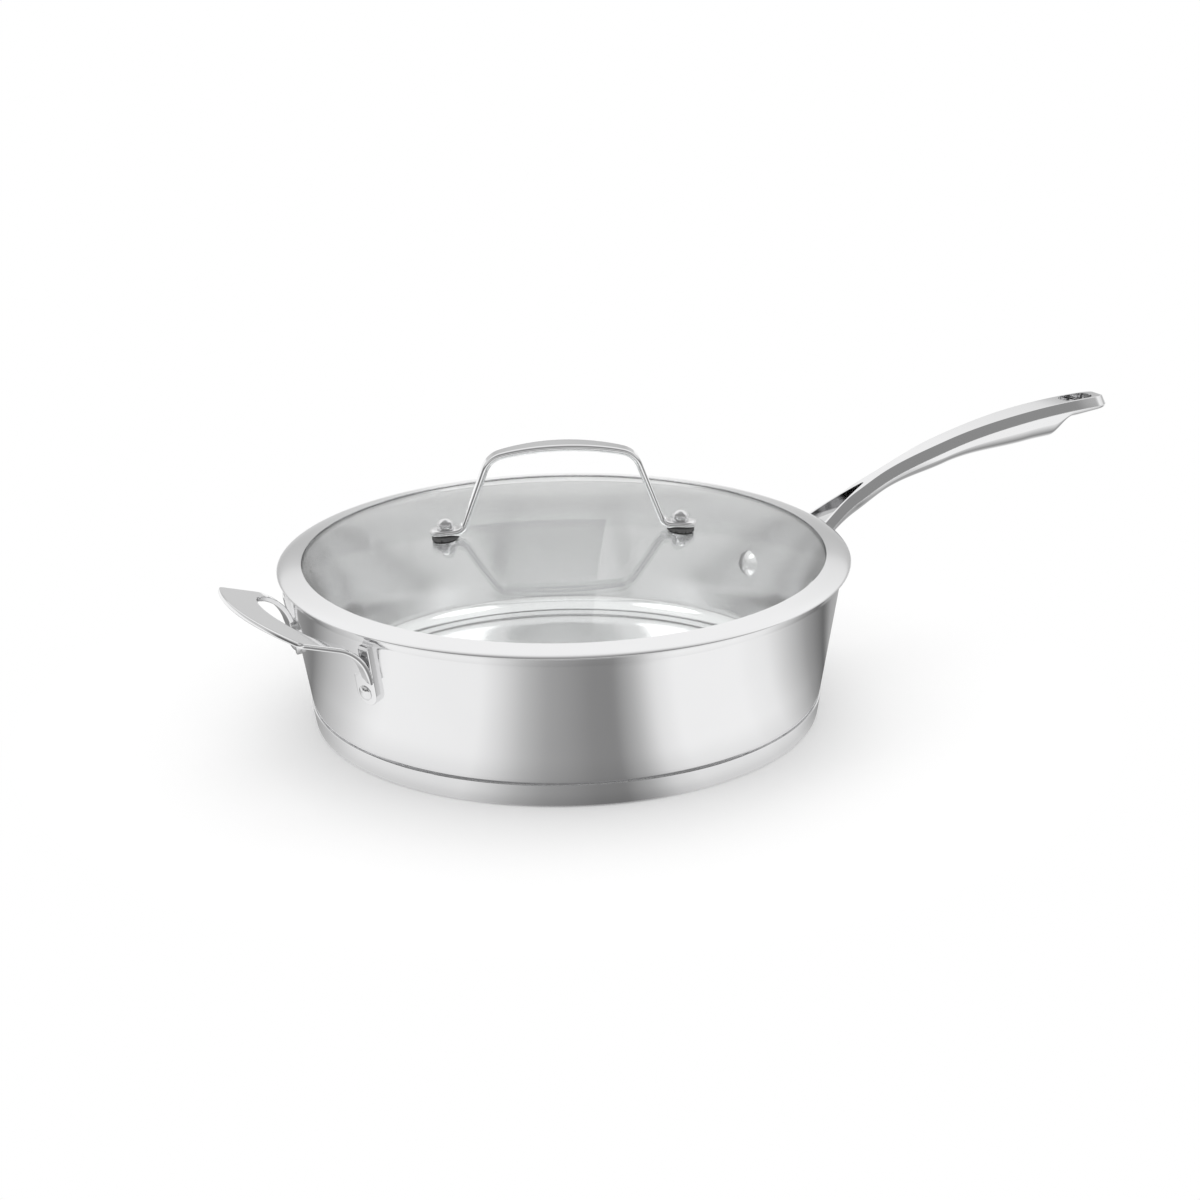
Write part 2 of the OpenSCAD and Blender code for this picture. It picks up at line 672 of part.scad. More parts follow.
module lid_handle() {
    color(bright_steel)
        difference() {
            rotate(lid_turn)
                intersection() {
                    linear_extrude(3 * pan_h) strap_plan();
                    rotate([90, 0, 0]) linear_extrude(2 * strap_w, center = true)
                        polygon(strap_outline(strap_side(), strap_t));
                }
            at_screws() translate([0, 0, foot_z - strap_t]) cylinder(d = screw_d, h = 3 * strap_t);
        }
}

// Underside of the washers, and the height up to which the screws reach into the nuts below them
washer_z = glass_z(lid_screw_u + washer_d / 2) - glass_t - washer_t;
screw_foot_z = washer_z - nut_h + nut_end_t;
screw_edge = 0.5;

module lid_handle_screws() {
    color(steel)
        at_screws() {
            translate([0, 0, screw_foot_z]) cylinder(d = screw_d, h = foot_z + strap_t - screw_foot_z);
            translate([0, 0, foot_z + strap_t]) dome_head(screw_head_d, screw_head_h, screw_edge);
        }
}

// Flange that follows the glass, and sleeve in its hole that ends just above the washer
sleeve_gap = 0.4;
module lid_grommets() {
    sleeve_z = glass_z(lid_screw_u - grommet_d / 2) - glass_t + sleeve_gap;
    color(dark_rubber)
        difference() {
            at_screws() translate([0, 0, sleeve_z]) cylinder(d = grommet_d, h = foot_z - sleeve_z);
            drilled_glass();
            at_screws() cylinder(d = screw_d, h = 2 * pan_h);
        }
}

// Washers that follow the curve of the glass
module lid_washers() {
    color(steel)
        difference() {
            at_screws() translate([0, 0, washer_z]) cylinder(d = washer_d, h = glass_t);
            glass_blank();
            at_screws() cylinder(d = screw_d, h = 2 * pan_h);
        }
}

module lid_nuts() {
    color(steel)
        at_screws() translate([0, 0, washer_z]) mirror([0, 0, 1]) difference() {
            dome_head(nut_d, nut_h);
            cylinder(d = screw_d, h = 2 * (nut_h - nut_end_t), center = true);
        }
}

pan_body();
base_core();
base_cap();
long_handle();
long_handle_rivets();
helper_handle();
helper_handle_rivets();
lid_glass();
lid_rim();
lid_handle();
lid_handle_screws();
lid_grommets();
lid_washers();
lid_nuts();
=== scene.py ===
"""Looks of a steel saute pan with two handles and a glass lid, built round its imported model.

Everything is in metres in the model's own frame: +Z up along the pan's axis, +X along the long handle.
"""

import logging
import math
from dataclasses import dataclass, field
from enum import Enum
from typing import Any, Callable, Dict, List, Optional, Sequence, Tuple, Union

import bmesh
import bpy
from mathutils import Matrix, Vector


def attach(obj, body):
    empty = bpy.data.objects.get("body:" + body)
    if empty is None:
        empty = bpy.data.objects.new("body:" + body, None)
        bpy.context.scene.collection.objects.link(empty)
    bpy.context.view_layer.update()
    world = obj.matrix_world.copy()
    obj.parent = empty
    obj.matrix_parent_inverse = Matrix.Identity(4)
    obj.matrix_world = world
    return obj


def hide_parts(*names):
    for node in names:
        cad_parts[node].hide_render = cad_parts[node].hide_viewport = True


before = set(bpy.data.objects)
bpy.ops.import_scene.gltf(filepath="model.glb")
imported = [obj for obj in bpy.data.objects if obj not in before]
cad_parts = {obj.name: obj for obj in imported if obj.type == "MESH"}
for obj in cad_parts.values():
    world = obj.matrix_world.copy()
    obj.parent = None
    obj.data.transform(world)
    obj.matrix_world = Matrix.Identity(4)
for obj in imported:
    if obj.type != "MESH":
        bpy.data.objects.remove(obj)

LOG = logging.getLogger("saute_pan")
MM = 0.001

Point2 = Tuple[float, float]
Point3 = Tuple[float, float, float]
Colour = Tuple[float, float, float, float]


class Body(Enum):
    """Bodies that the pieces ride on."""

    PAN = "pan"
    LID = "lid"


class Slot(Enum):
    """Material slots of the record."""

    POLISHED = "polished_steel"
    CAST = "cast_steel"
    RIVET = "rivet_steel"
    CORE = "aluminium"
    GLASS = "lid_glass"
    RUBBER = "grommet_rubber"


# Shader maths


class Link:
    """Socket of a node tree, with arithmetic that adds Math nodes."""

    def __init__(self, tree: "Tree", socket: bpy.types.NodeSocket) -> None:
        """Keeps the tree and the output socket."""
        self.tree = tree
        self.socket = socket

    def math(self, operation: str, *values: "Number", clamp: bool = False) -> "Link":
        """Result of a Math node on this socket and further values.

        Args:
            operation: Blender's name of the operation.
            values: second and third operand.
            clamp: whether the result is held between 0 and 1.

        Returns:
            The node's output.
        """
        return self.tree.math(operation, self, *values, clamp=clamp)

    def __add__(self, other: "Number") -> "Link":
        """Sum."""
        return self.math("ADD", other)

    def __sub__(self, other: "Number") -> "Link":
        """Difference."""
        return self.math("SUBTRACT", other)

    def __rsub__(self, other: "Number") -> "Link":
        """Difference, this socket being subtracted."""
        return self.tree.math("SUBTRACT", other, self)

    def __mul__(self, other: "Number") -> "Link":
        """Product."""
        return self.math("MULTIPLY", other)

    def __truediv__(self, other: "Number") -> "Link":
        """Quotient."""
        return self.math("DIVIDE", other)

    def __pow__(self, other: "Number") -> "Link":
        """Power."""
        return self.math("POWER", other)


Number = Union[float, Link]


class Tree:
    """Node tree of a material or of the world."""

    def __init__(self, owner: Union[bpy.types.Material, bpy.types.World]) -> None:
        """Empties the owner's node tree."""
        owner.use_nodes = True
        self.nodes = owner.node_tree.nodes
        self.links = owner.node_tree.links
        self.nodes.clear()

    def node(self, kind: str, settings: Optional[Dict[str, Any]] = None,
             inputs: Optional[Dict[Any, Any]] = None, output: Union[int, str] = 0) -> Link:
        """Adds any node.

        Args:
            kind: the node's type without its ShaderNode prefix.
            settings: properties of the node, set first. "stops" fills a colour ramp.
            inputs: values or links of its sockets, by name or number.
            output: the output that is returned.

        Returns:
            The chosen output.
        """
        made = self.nodes.new("ShaderNode" + kind)
        for key, value in (settings or {}).items():
            if key == "stops":
                self._fill_ramp(made.color_ramp, value)
            else:
                setattr(made, key, value)
        for key, value in (inputs or {}).items():
            if isinstance(value, Link):
                self.links.new(value.socket, made.inputs[key])
            else:
                made.inputs[key].default_value = value
        return Link(self, made.outputs[output])

    @staticmethod
    def _fill_ramp(ramp: bpy.types.ColorRamp, stops: Sequence[Point2]) -> None:
        """Gives a ramp its grey stops, each a position and a value."""
        while len(ramp.elements) < len(stops):
            ramp.elements.new(1.0)
        for element, (position, grey) in zip(ramp.elements, stops):
            element.position = position
            element.color = (grey, grey, grey, 1.0)

    def math(self, operation: str, *values: Number, clamp: bool = False) -> Link:
        """Adds a Math node on sockets and numbers."""
        return self.node("Math", {"operation": operation, "use_clamp": clamp}, dict(enumerate(values)))

    def vector(self, x: Number, y: Number, z: Number) -> Link:
        """Joins three values into a vector."""
        return self.node("CombineXYZ", inputs={0: x, 1: y, 2: z})

    def axes(self, vector: Link) -> Tuple[Link, Link, Link]:
        """Splits a vector into its three values."""
        split = self.node("SeparateXYZ", inputs={0: vector}).socket.node
        return tuple(Link(self, split.outputs[i]) for i in range(3))

    def grey(self, value: Number, stops: Sequence[Point2]) -> Link:
        """Looks a value up in a ramp of greys."""
        return self.node("ValToRGB", {"stops": stops}, {0: value})

    def tinted(self, factor: Number, low: Colour, high: Colour) -> Link:
        """Mixes two colours."""
        return self.node("Mix", {"data_type": "RGBA"}, {0: factor, 6: low, 7: high}, output=2)

    def finish(self, shader: Link, kind: str = "OutputMaterial") -> None:
        """Adds the output node and links the last shader to it."""
        out = self.nodes.new("ShaderNode" + kind)
        self.links.new(shader.socket, out.inputs[0])


@dataclass(frozen=True)
class Metal:
    """Finish of a metal with a grain that runs round the pan's axis, or in no direction."""

    name: str
    colour: Tuple[float, float, float] = (0.80, 0.80, 0.81)
    roughness: float = 0.10
    spread: float = 0.03
    anisotropic: float = 0.0
    across: float = 0.0
    grain: float = 0.0
    grain_scale: float = 2500.0
    waviness: float = 0.0
    wave_scale: float = 40.0
    round_axis: bool = True
    worn: float = 0.97

    def material(self) -> bpy.types.Material:
        """Builds the material.

        Returns:
            Principled metal whose colour, roughness and normal vary over the surface.
        """
        made = bpy.data.materials.new(self.name)
        tree = Tree(made)
        place = tree.node("TexCoord", output="Object")
        x, y, z = tree.axes(place)
        if self.round_axis:
            radius = (x * x + y * y) ** 0.5
            lines = tree.vector(radius * self.grain_scale, z * self.grain_scale, x.math("ARCTAN2", y) * 3.0)
        else:
            lines = tree.vector(x * self.grain_scale, y * self.grain_scale, z * self.grain_scale)
        fine = tree.node("TexNoise", inputs={"Vector": lines, "Scale": 1.0, "Detail": 3.0,
                                             "Roughness": 0.6})
        cloud = tree.node("TexNoise", inputs={"Vector": place, "Scale": self.wave_scale, "Detail": 2.0})
        wear = (fine - 0.5) * 0.5 + (cloud - 0.5)
        rough = wear * self.spread + self.roughness
        low = tuple(c * self.worn for c in self.colour) + (1.0,)
        high = self.colour + (1.0,)
        base = tree.tinted(wear.math("ADD", 0.5, clamp=True), low, high)
        inputs = {"Base Color": base, "Metallic": 1.0, "Roughness": rough, "Anisotropic": self.anisotropic,
                  "Anisotropic Rotation": self.across}
        if self.grain or self.waviness:
            height = fine * self.grain + cloud * self.waviness
            inputs["Normal"] = tree.node("Bump", inputs={"Height": height, "Strength": 1.0, "Distance": MM})
        tree.finish(tree.node("BsdfPrincipled", inputs=inputs))
        return made


@dataclass(frozen=True)
class Rubber:
    """Finish of matte dark rubber."""

    name: str = "dark_rubber"
    colour: Tuple[float, float, float] = (0.085, 0.085, 0.085)
    rubbed: float = 1.6

    def material(self) -> bpy.types.Material:
        """Builds the material with a fine moulded grain."""
        made = bpy.data.materials.new(self.name)
        tree = Tree(made)
        place = tree.node("TexCoord", output="Object")
        speckle = tree.node("TexNoise", inputs={"Vector": place, "Scale": 1800.0, "Detail": 2.0})
        bump = tree.node("Bump", inputs={"Height": speckle, "Strength": 0.3, "Distance": 0.1 * MM})
        high = tuple(self.rubbed * c for c in self.colour) + (1.0,)
        tree.finish(tree.node("BsdfPrincipled", inputs={
            "Base Color": tree.tinted(speckle, self.colour + (1.0,), high),
            "Roughness": speckle * 0.2 + 0.5, "Normal": bump}))
        return made


@dataclass(frozen=True)
class Glass:
    """Finish of clear tempered glass."""

    name: str = "clear_glass"
    tint: Tuple[float, float, float] = (0.99, 1.0, 0.995)
    wiped: float = 0.985

    def material(self) -> bpy.types.Material:
        """Builds the material, with faint wipe marks in its tint."""
        made = bpy.data.materials.new(self.name)
        tree = Tree(made)
        place = tree.node("TexCoord", output="Object")
        wipes = tree.node("TexNoise", inputs={"Vector": place, "Scale": 30.0, "Detail": 3.0,
                                              "Distortion": 0.6})
        low = tuple(c * self.wiped for c in self.tint) + (1.0,)
        tree.finish(tree.node("BsdfPrincipled", inputs={
            "Base Color": tree.tinted(wipes, low, self.tint + (1.0,)), "Roughness": 0.0, "IOR": 1.5,
            "Transmission Weight": 1.0}))
        return made


# Paths, curves and shares


def unit(v: Vector) -> Vector:
    """Vector of length 1 in the same direction."""
    return v.normalized()


def arc(centre: Point2, r: float, a0: float, a1: float, steps: int) -> List[Vector]:
    """Points on an arc, its angles in degrees."""
    angles = [math.radians(a0 + (a1 - a0) * i / steps) for i in range(steps + 1)]
    return [Vector((centre[0] + r * math.cos(a), centre[1] + r * math.sin(a))) for a in angles]


def bend(a: Vector, b: Vector, c: Vector, r: float, steps: int) -> List[Vector]:
    """Round bend in place of a corner.

    Args:
        a: point before the corner.
        b: the corner.
        c: point after the corner.
        r: radius of the bend.
        steps: number of chords.

    Returns:
        The points of the bend.
    """
    u, v = unit(a - b), unit(c - b)
    half = u.angle(v) / 2
    centre = b + unit(u + v) * r / math.sin(half)
    p, q = b + u * r / math.tan(half) - centre, b + v * r / math.tan(half) - centre
    start, turn = math.atan2(p.y, p.x), p.angle_signed(q)
    return [centre + r * Vector((math.cos(start - turn * i / steps), math.sin(start - turn * i / steps)))
            for i in range(steps + 1)]


def bent(points: Sequence[Point2], radii: Sequence[float], steps: int = 10) -> List[Vector]:
    """Polyline with a round bend at each inner point."""
    path = [Vector(p) for p in points]
    made = [path[0]]
    for i, r in enumerate(radii):
        made += bend(path[i], path[i + 1], path[i + 2], r, steps)
    return made + [path[-1]]


def shifted(path: Sequence[Vector], d: float) -> List[Vector]:
    """Path moved sideways by d, to its left where d is positive."""
    made = []
    for i, p in enumerate(path):
        before = unit(path[i] - path[i - 1]) if i else unit(path[1] - path[0])
        after = unit(path[i + 1] - path[i]) if i < len(path) - 1 else before
        left_before, left_after = Vector((-before.y, before.x)), Vector((-after.y, after.x))
        n = unit(left_before + left_after)
        made.append(p + n * d / n.dot(left_after))
    return made


def spread(path: Sequence[Vector], longest: float) -> List[Vector]:
    """Path with points added, so that no chord is longer than the length given."""
    made = [path[0]]
    for a, b in zip(path, path[1:]):
        n = max(1, math.ceil((b - a).length / longest))
        made += [a.lerp(b, i / n) for i in range(1, n + 1)]
    return made


def curve_point(p: Sequence[Vector], k: float) -> Vector:
    """Point of a cubic curve with four control points."""
    m = 1 - k
    return m * m * m * p[0] + 3 * m * m * k * p[1] + 3 * m * k * k * p[2] + k * k * k * p[3]


def smooth_step(k: float) -> float:
    """Eased share between 0 and 1."""
    c = min(1.0, max(0.0, k))
    return c * c * (3 - 2 * c)


def crowded(a: float, b: float, steps: int) -> List[float]:
    """Values between two ends, closer together towards both."""
    return [a + (b - a) * (0.5 - 0.5 * math.cos(math.pi * i / steps)) for i in range(steps + 1)]


def squared(v: float) -> float:
    """Blunter than a round, for sections between an ellipse and a rectangle."""
    return math.copysign(abs(v) ** 0.7, v)


def rounded_slot(length: float, width: float, steps: int = 12) -> List[Vector]:
    """Outline with round ends."""
    off = (length - width) / 2
    return arc((off, 0), width / 2, -90, 90, steps) + arc((-off, 0), width / 2, 90, 270, steps)


def resampled(path: Sequence[Vector], count: int) -> List[Vector]:
    """Path with its points at even distances."""
    lengths = [0.0]
    for a, b in zip(path, path[1:]):
        lengths.append(lengths[-1] + (b - a).length)
    made, i = [], 0
    for n in range(count):
        goal = lengths[-1] * n / (count - 1)
        while i < len(path) - 2 and lengths[i + 1] < goal:
            i += 1
        made.append(path[i].lerp(path[i + 1], (goal - lengths[i]) / (lengths[i + 1] - lengths[i])))
    return made


# Modelling in edit mode


class Bench:
    """Modelling steps in edit mode, and the handing over of finished pieces."""

    @staticmethod
    def clear() -> None:
        """Deselects everything in object mode."""
        if bpy.context.mode != "OBJECT":
            bpy.ops.object.mode_set(mode="OBJECT")
        bpy.ops.object.select_all(action="DESELECT")

    @classmethod
    def pick(cls, piece: bpy.types.Object) -> None:
        """Makes a piece the active one and the only one selected."""
        cls.clear()
        piece.select_set(True)
        bpy.context.view_layer.objects.active = piece

    @staticmethod
    def named(name: str) -> bpy.types.Object:
        """Active object under its new name, which its mesh gets too."""
        piece = bpy.context.object
        piece.name = piece.data.name = name
        return piece

    @classmethod
    def turned(cls, name: str, profile: Sequence[Vector], steps: int = 320) -> bpy.types.Object:
        """Turns a closed profile about the pan's axis.

        Args:
            name: the piece's name.
            profile: points in metres, each a distance from the axis and a height.
            steps: number of steps round the axis.

        Returns:
            The closed smooth solid.
        """
        cls.clear()
        start = profile[0]
        bpy.ops.mesh.primitive_plane_add(size=MM, location=(start.x, 0, start.y))
        bpy.ops.object.transform_apply(location=True, rotation=True, scale=True)
        bpy.ops.object.mode_set(mode="EDIT")
        bpy.ops.mesh.select_all(action="SELECT")
        bpy.ops.mesh.merge(type="CENTER")
        for a, b in zip(profile, list(profile[1:]) + [start]):
            bpy.ops.mesh.extrude_vertices_move(TRANSFORM_OT_translate={"value": (b.x - a.x, 0, b.y - a.y)})
        bpy.ops.mesh.select_all(action="SELECT")
        bpy.ops.mesh.remove_doubles(threshold=MM / 1000)
        bpy.ops.mesh.spin(steps=steps, angle=2 * math.pi, center=(0, 0, 0), axis=(0, 0, 1))
        bpy.ops.mesh.select_all(action="SELECT")
        bpy.ops.mesh.remove_doubles(threshold=MM / 1000)
        bpy.ops.mesh.normals_make_consistent(inside=False)
        bpy.ops.object.mode_set(mode="OBJECT")
        return cls.named(name)

    @classmethod
    def lofted(cls, name: str, rings: Sequence[Sequence[Vector]]) -> bpy.types.Object:
        """Extrudes a face through rings of equally many points.

        Args:
            name: the piece's name.
            rings: outlines in order, their points in metres.

        Returns:
            The closed solid, a face over its first and its last outline.
        """
        cls.clear()
        bpy.ops.mesh.primitive_circle_add(vertices=len(rings[0]), radius=MM, fill_type="NGON")
        piece = cls.named(name)
        bpy.ops.object.mode_set(mode="EDIT")
        bpy.ops.mesh.select_all(action="SELECT")
        mesh = bmesh.from_edit_mesh(piece.data)
        mesh.faces.ensure_lookup_table()
        ends = list(mesh.faces[0].verts)
        for vert, place in zip(ends, rings[0]):
            vert.co = place
        for ring in rings[1:]:
            order = {tuple(vert.co): i for i, vert in enumerate(ends)}
            bpy.ops.mesh.extrude_region_move()
            mesh = bmesh.from_edit_mesh(piece.data)
            ends = sorted((vert for vert in mesh.verts if vert.select),
                          key=lambda vert: order[tuple(vert.co)])
            for vert, place in zip(ends, ring):
                vert.co = place
        bpy.ops.mesh.select_all(action="SELECT")
        bpy.ops.mesh.normals_make_consistent(inside=False)
        bpy.ops.object.mode_set(mode="OBJECT")
        return piece

    @classmethod
    def cut(cls, piece: bpy.types.Object, *tools: bpy.types.Object) -> None:
        """Takes closed tools out of a closed piece."""
        cls.pick(piece)
        for tool in tools:
            modifier = piece.modifiers.new("cut", "BOOLEAN")
            modifier.operation, modifier.solver, modifier.object = "DIFFERENCE", "EXACT", tool
            bpy.ops.object.modifier_apply(modifier=modifier.name)

    @staticmethod
    def scrap(*tools: bpy.types.Object) -> None:
        """Deletes tools that have done their cutting."""
        for tool in tools:
            bpy.data.objects.remove(tool, do_unlink=True)

    @classmethod
    def joined(cls, name: str, pieces: Sequence[bpy.types.Object]) -> bpy.types.Object:
        """Joins pieces into one mesh."""
        cls.clear()
        for piece in pieces:
            piece.select_set(True)
        bpy.context.view_layer.objects.active = pieces[0]
        bpy.ops.object.join()
        return cls.named(name)

    @classmethod
    def copied(cls, name: str, node: str) -> bpy.types.Object:
        """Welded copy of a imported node's mesh."""
        piece = bpy.data.objects.new(name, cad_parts[node].data.copy())
        piece.data.name = name
        bpy.context.scene.collection.objects.link(piece)
        cls.pick(piece)
        bpy.ops.object.mode_set(mode="EDIT")
        bpy.ops.mesh.select_all(action="SELECT")
        bpy.ops.mesh.remove_doubles(threshold=MM / 500)
        bpy.ops.object.mode_set(mode="OBJECT")
        return piece

    @classmethod
    def smooth(cls, piece: bpy.types.Object, angle: float = 30.0) -> None:
        """Shades a piece smooth, apart from edges sharper than the angle."""
        cls.pick(piece)
        bpy.ops.object.shade_smooth_by_angle(angle=math.radians(angle), keep_sharp_edges=True)

    @classmethod
    def level_normals(cls, piece: bpy.types.Object) -> None:
        """Lets large faces rule the shading of the small ones beside them."""
        modifier = piece.modifiers.new("shading", "WEIGHTED_NORMAL")
        modifier.keep_sharp, modifier.weight = True, 100
        cls.pick(piece)
        bpy.ops.object.modifier_apply(modifier=modifier.name)

    @staticmethod
    def hand_over(piece: bpy.types.Object, body: Body, slot: Slot, node: str,
                  *materials: bpy.types.Material) -> None:
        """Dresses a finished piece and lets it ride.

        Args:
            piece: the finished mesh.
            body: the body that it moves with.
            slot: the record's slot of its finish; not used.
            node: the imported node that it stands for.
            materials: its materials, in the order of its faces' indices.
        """
        piece.data.materials.clear()
        for material in materials:
            piece.data.materials.append(material)
        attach(piece, body.value)
        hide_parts(node)
        LOG.info("%s rides on %s, %d faces", piece.name, body.value, len(piece.data.polygons))


# The object's pieces


@dataclass(frozen=True)
class Wall:
    """Cone of the pan's wall."""

    base_r: float = 134.5 * MM
    top_r: float = 147.5 * MM
    top_z: float = 78.8 * MM
    sheet: float = 0.9 * MM

    @property
    def taper(self) -> float:
        """Growth of the radius with height."""
        return (self.top_r - self.base_r) / self.top_z

    @property
    def tilt(self) -> float:
        """Angle of the wall from upright, in radians."""
        return math.atan(self.taper)

    def r(self, z: float) -> float:
        """Radius of the outer face at a height."""
        return self.base_r + self.taper * z

    def level(self, t: float) -> float:
        """Thickness of a sheet on the wall, measured level."""
        return t / math.cos(self.tilt)

    def angle(self, y: float, z: float) -> float:
        """Angle round the axis of a point of the wall at a sideways distance."""
        return math.asin(y / self.r(z))

    def on_face(self, centre: Vector, up: float, side: float, out: float) -> Vector:
        """Point near a rivet on the wall's outer face.

        Args:
            centre: where the rivet's axis meets the face.
            up: distance up the wall.
            side: distance along the wall, to the left seen from outside the pan with +Z up.
            out: distance out of the face.

        Returns:
            The point, projected along the rivet's axis.
        """
        radial = unit(Vector((centre.x, centre.y, 0)))
        along = Vector((-radial.y, radial.x, 0))
        steep = unit(radial * self.taper + Vector((0, 0, 1)))
        axis = unit(radial - Vector((0, 0, self.taper)))
        point = centre + steep * up + along * side
        for _ in range(4):
            gap = self.r(point.z) + self.level(out) - point.xy.length
            outward = unit(Vector((point.x, point.y, 0)))
            point = point + axis * gap / (axis.dot(outward) - self.taper * axis.z)
        return point


@dataclass
class Vessel:
    """Drawn shell with its sealed base."""

    wall: Wall = field(default_factory=Wall)
    height: float = 84.2 * MM
    lip_r: float = 150.6 * MM
    lip_bend: float = 6 * MM
    corner: float = 12 * MM
    floor_z: float = 6.0 * MM
    cap_h: float = 12.6 * MM
    cap_t: float = 0.7 * MM
    cap_corner: float = 3 * MM
    edge: float = 0.15 * MM
    chord: float = 8 * MM

    def shell_profile(self) -> List[Vector]:
        """Outline of the shell, with a round edge at the lip."""
        wall, half = self.wall, self.wall.sheet / 2
        outer = bent([(0, self.floor_z), (wall.r(self.floor_z), self.floor_z), (wall.top_r, wall.top_z),
                      (self.lip_r, self.height - half)], [self.corner, self.lip_bend], 14)
        inner = shifted(outer, wall.sheet)
        end = (outer[-1] + inner[-1]) / 2
        start = math.degrees(math.atan2(outer[-1].y - end.y, outer[-1].x - end.x))
        outer[-1:], inner[-1:] = [], []
        lip = arc(end, half, start, start + 180, 8)
        return spread(outer, self.chord) + lip + spread(inner[::-1], self.chord)

    def make_shell(self, outside: bpy.types.Material, inside: bpy.types.Material) -> None:
        """Turns the shell, polished outside and brushed inside."""
        piece = Bench.turned("pan_shell", self.shell_profile())
        for face in piece.data.polygons:
            centre = face.center
            inward = face.normal.x * centre.x + face.normal.y * centre.y < 0
            floor = face.normal.z > 0.7 and centre.z < self.floor_z + 2 * self.wall.sheet
            face.material_index = int((inward or floor) and centre.z < self.wall.top_z)
        Bench.smooth(piece)
        Bench.hand_over(piece, Body.PAN, Slot.POLISHED, "pan_body", outside, inside)

    def make_cap(self, steel: bpy.types.Material) -> None:
        """Turns the cap that closes the base."""
        wall, t = self.wall, self.cap_t
        foot, top = wall.r(0) + wall.level(t), wall.r(self.cap_h) + wall.level(t)
        outer = bent([(0, 0), (foot, 0), (top, self.cap_h)], [self.cap_corner], 10)
        inner = shifted(outer, t)
        outer[-1] -= Vector((0, self.edge))
        rim = [outer[-1], Vector((outer[-1].x - self.edge, self.cap_h))]
        profile = spread(outer[:-1] + rim, self.chord) + spread(inner[::-1], self.chord)
        piece = Bench.turned("base_cap_shell", profile)
        Bench.smooth(piece)
        Bench.hand_over(piece, Body.PAN, Slot.POLISHED, "base_cap", steel)


@dataclass
class Lid:
    """Domed glass in its rolled steel rim."""

    seat_z: float = 84.5 * MM
    skirt_r: float = 145.288 * MM
    skirt_t: float = 1.0 * MM
    skirt_h: float = 3.9 * MM
    glass_r: float = 143.988 * MM
    glass_edge_z: float = 87.1 * MM
    glass_t: float = 4 * MM
    dome_rise: float = 14.3 * MM
    band_r: float = 139.4 * MM
    outer_r: float = 152.5 * MM
    roll: float = 0.7 * MM
    rim_t: float = 0.6 * MM
    ledge: float = 3 * MM
    ground: float = 0.4 * MM
    edge_gap: float = 0.1 * MM
    rings: int = 36
    band_pull: float = 5 * MM
    nose_pull: float = 1.4 * MM

    def glass_z(self, r: float) -> float:
        """Height of the glass's top face at a distance from the axis."""
        dome = (self.glass_r ** 2 + self.dome_rise ** 2) / (2 * self.dome_rise)
        return self.glass_edge_z + math.sqrt(dome ** 2 - r ** 2) - math.sqrt(dome ** 2 - self.glass_r ** 2)

    def make_glass(self, glass: bpy.types.Material) -> None:
        """Turns the domed disc with ground edges."""
        ground, edge_r = self.ground, self.glass_r - self.ground
        edge = [(edge_r, self.glass_z(edge_r)), (self.glass_r, self.glass_edge_z - ground),
                (self.glass_r, self.glass_edge_z - self.glass_t + ground),
                (edge_r, self.glass_z(edge_r) - self.glass_t)]
        radii = [self.glass_r * i / self.rings for i in range(self.rings)]
        top = [Vector((r, self.glass_z(r))) for r in radii]
        bottom = [Vector((p.x, p.y - self.glass_t)) for p in reversed(top)]
        piece = Bench.turned("lid_pane", top + [Vector(p) for p in edge] + bottom)
        Bench.smooth(piece)
        Bench.hand_over(piece, Body.LID, Slot.GLASS, "lid_glass", glass)

    def make_rim(self, steel: bpy.types.Material, skirt_shade: bpy.types.Material) -> None:
        """Turns the rim: convex band, rolled edge, skirt and ledge, its inner faces in dark steel that
        paints the shade under the glass.
        """
        nose = self.outer_r - self.roll
        channel = self.skirt_r - self.skirt_t
        middle_r = (self.band_r + self.glass_r) / 2
        inner = [Vector((r, self.glass_z(r))) for r in (self.band_r, middle_r, self.glass_r)]
        start = inner[0] + Vector((0, self.rim_t))
        fall = (self.glass_z(self.glass_r) - self.glass_z(self.band_r)) / (self.glass_r - self.band_r)
        top_roll = self.seat_z + self.roll
        pulls = [start, start + Vector((self.band_pull, self.band_pull * fall)),
                 Vector((self.outer_r, top_roll + self.nose_pull)), Vector((self.outer_r, top_roll))]
        band = [curve_point(pulls, i / 16) for i in range(17)]
        ledge_z = self.glass_edge_z - self.glass_t
        skirt_foot = self.seat_z - self.skirt_h
        hem = self.skirt_t / 2
        under = arc((nose, top_roll), self.roll, 0, -90, 6)[1:]
        skirt = [Vector((self.skirt_r, self.seat_z)),
                 *arc((channel + hem, skirt_foot + hem), hem, 0, -180, 8)]
        inside = [(channel, ledge_z - self.rim_t), (channel - self.ledge, ledge_z - self.rim_t),
                  (channel - self.ledge, ledge_z), (channel, ledge_z), (channel, self.seat_z + self.rim_t),
                  (nose, self.seat_z + self.rim_t), (nose, self.seat_z + 2 * self.roll - self.rim_t),
                  (channel, self.glass_z(channel))]
        profile = band + under + skirt + [Vector(p) for p in inside] + inner[::-1]
        piece = Bench.turned("lid_band", profile)
        # Painted shade: faces inside the channel and below the glass's edge take the dark second material.
        for face in piece.data.polygons:
            centre = face.center
            within = centre.xy.length < channel + self.edge_gap
            face.material_index = int(centre.z < self.glass_edge_z and within)
        Bench.smooth(piece, 40)
        Bench.hand_over(piece, Body.LID, Slot.POLISHED, "lid_rim", steel, skirt_shade)


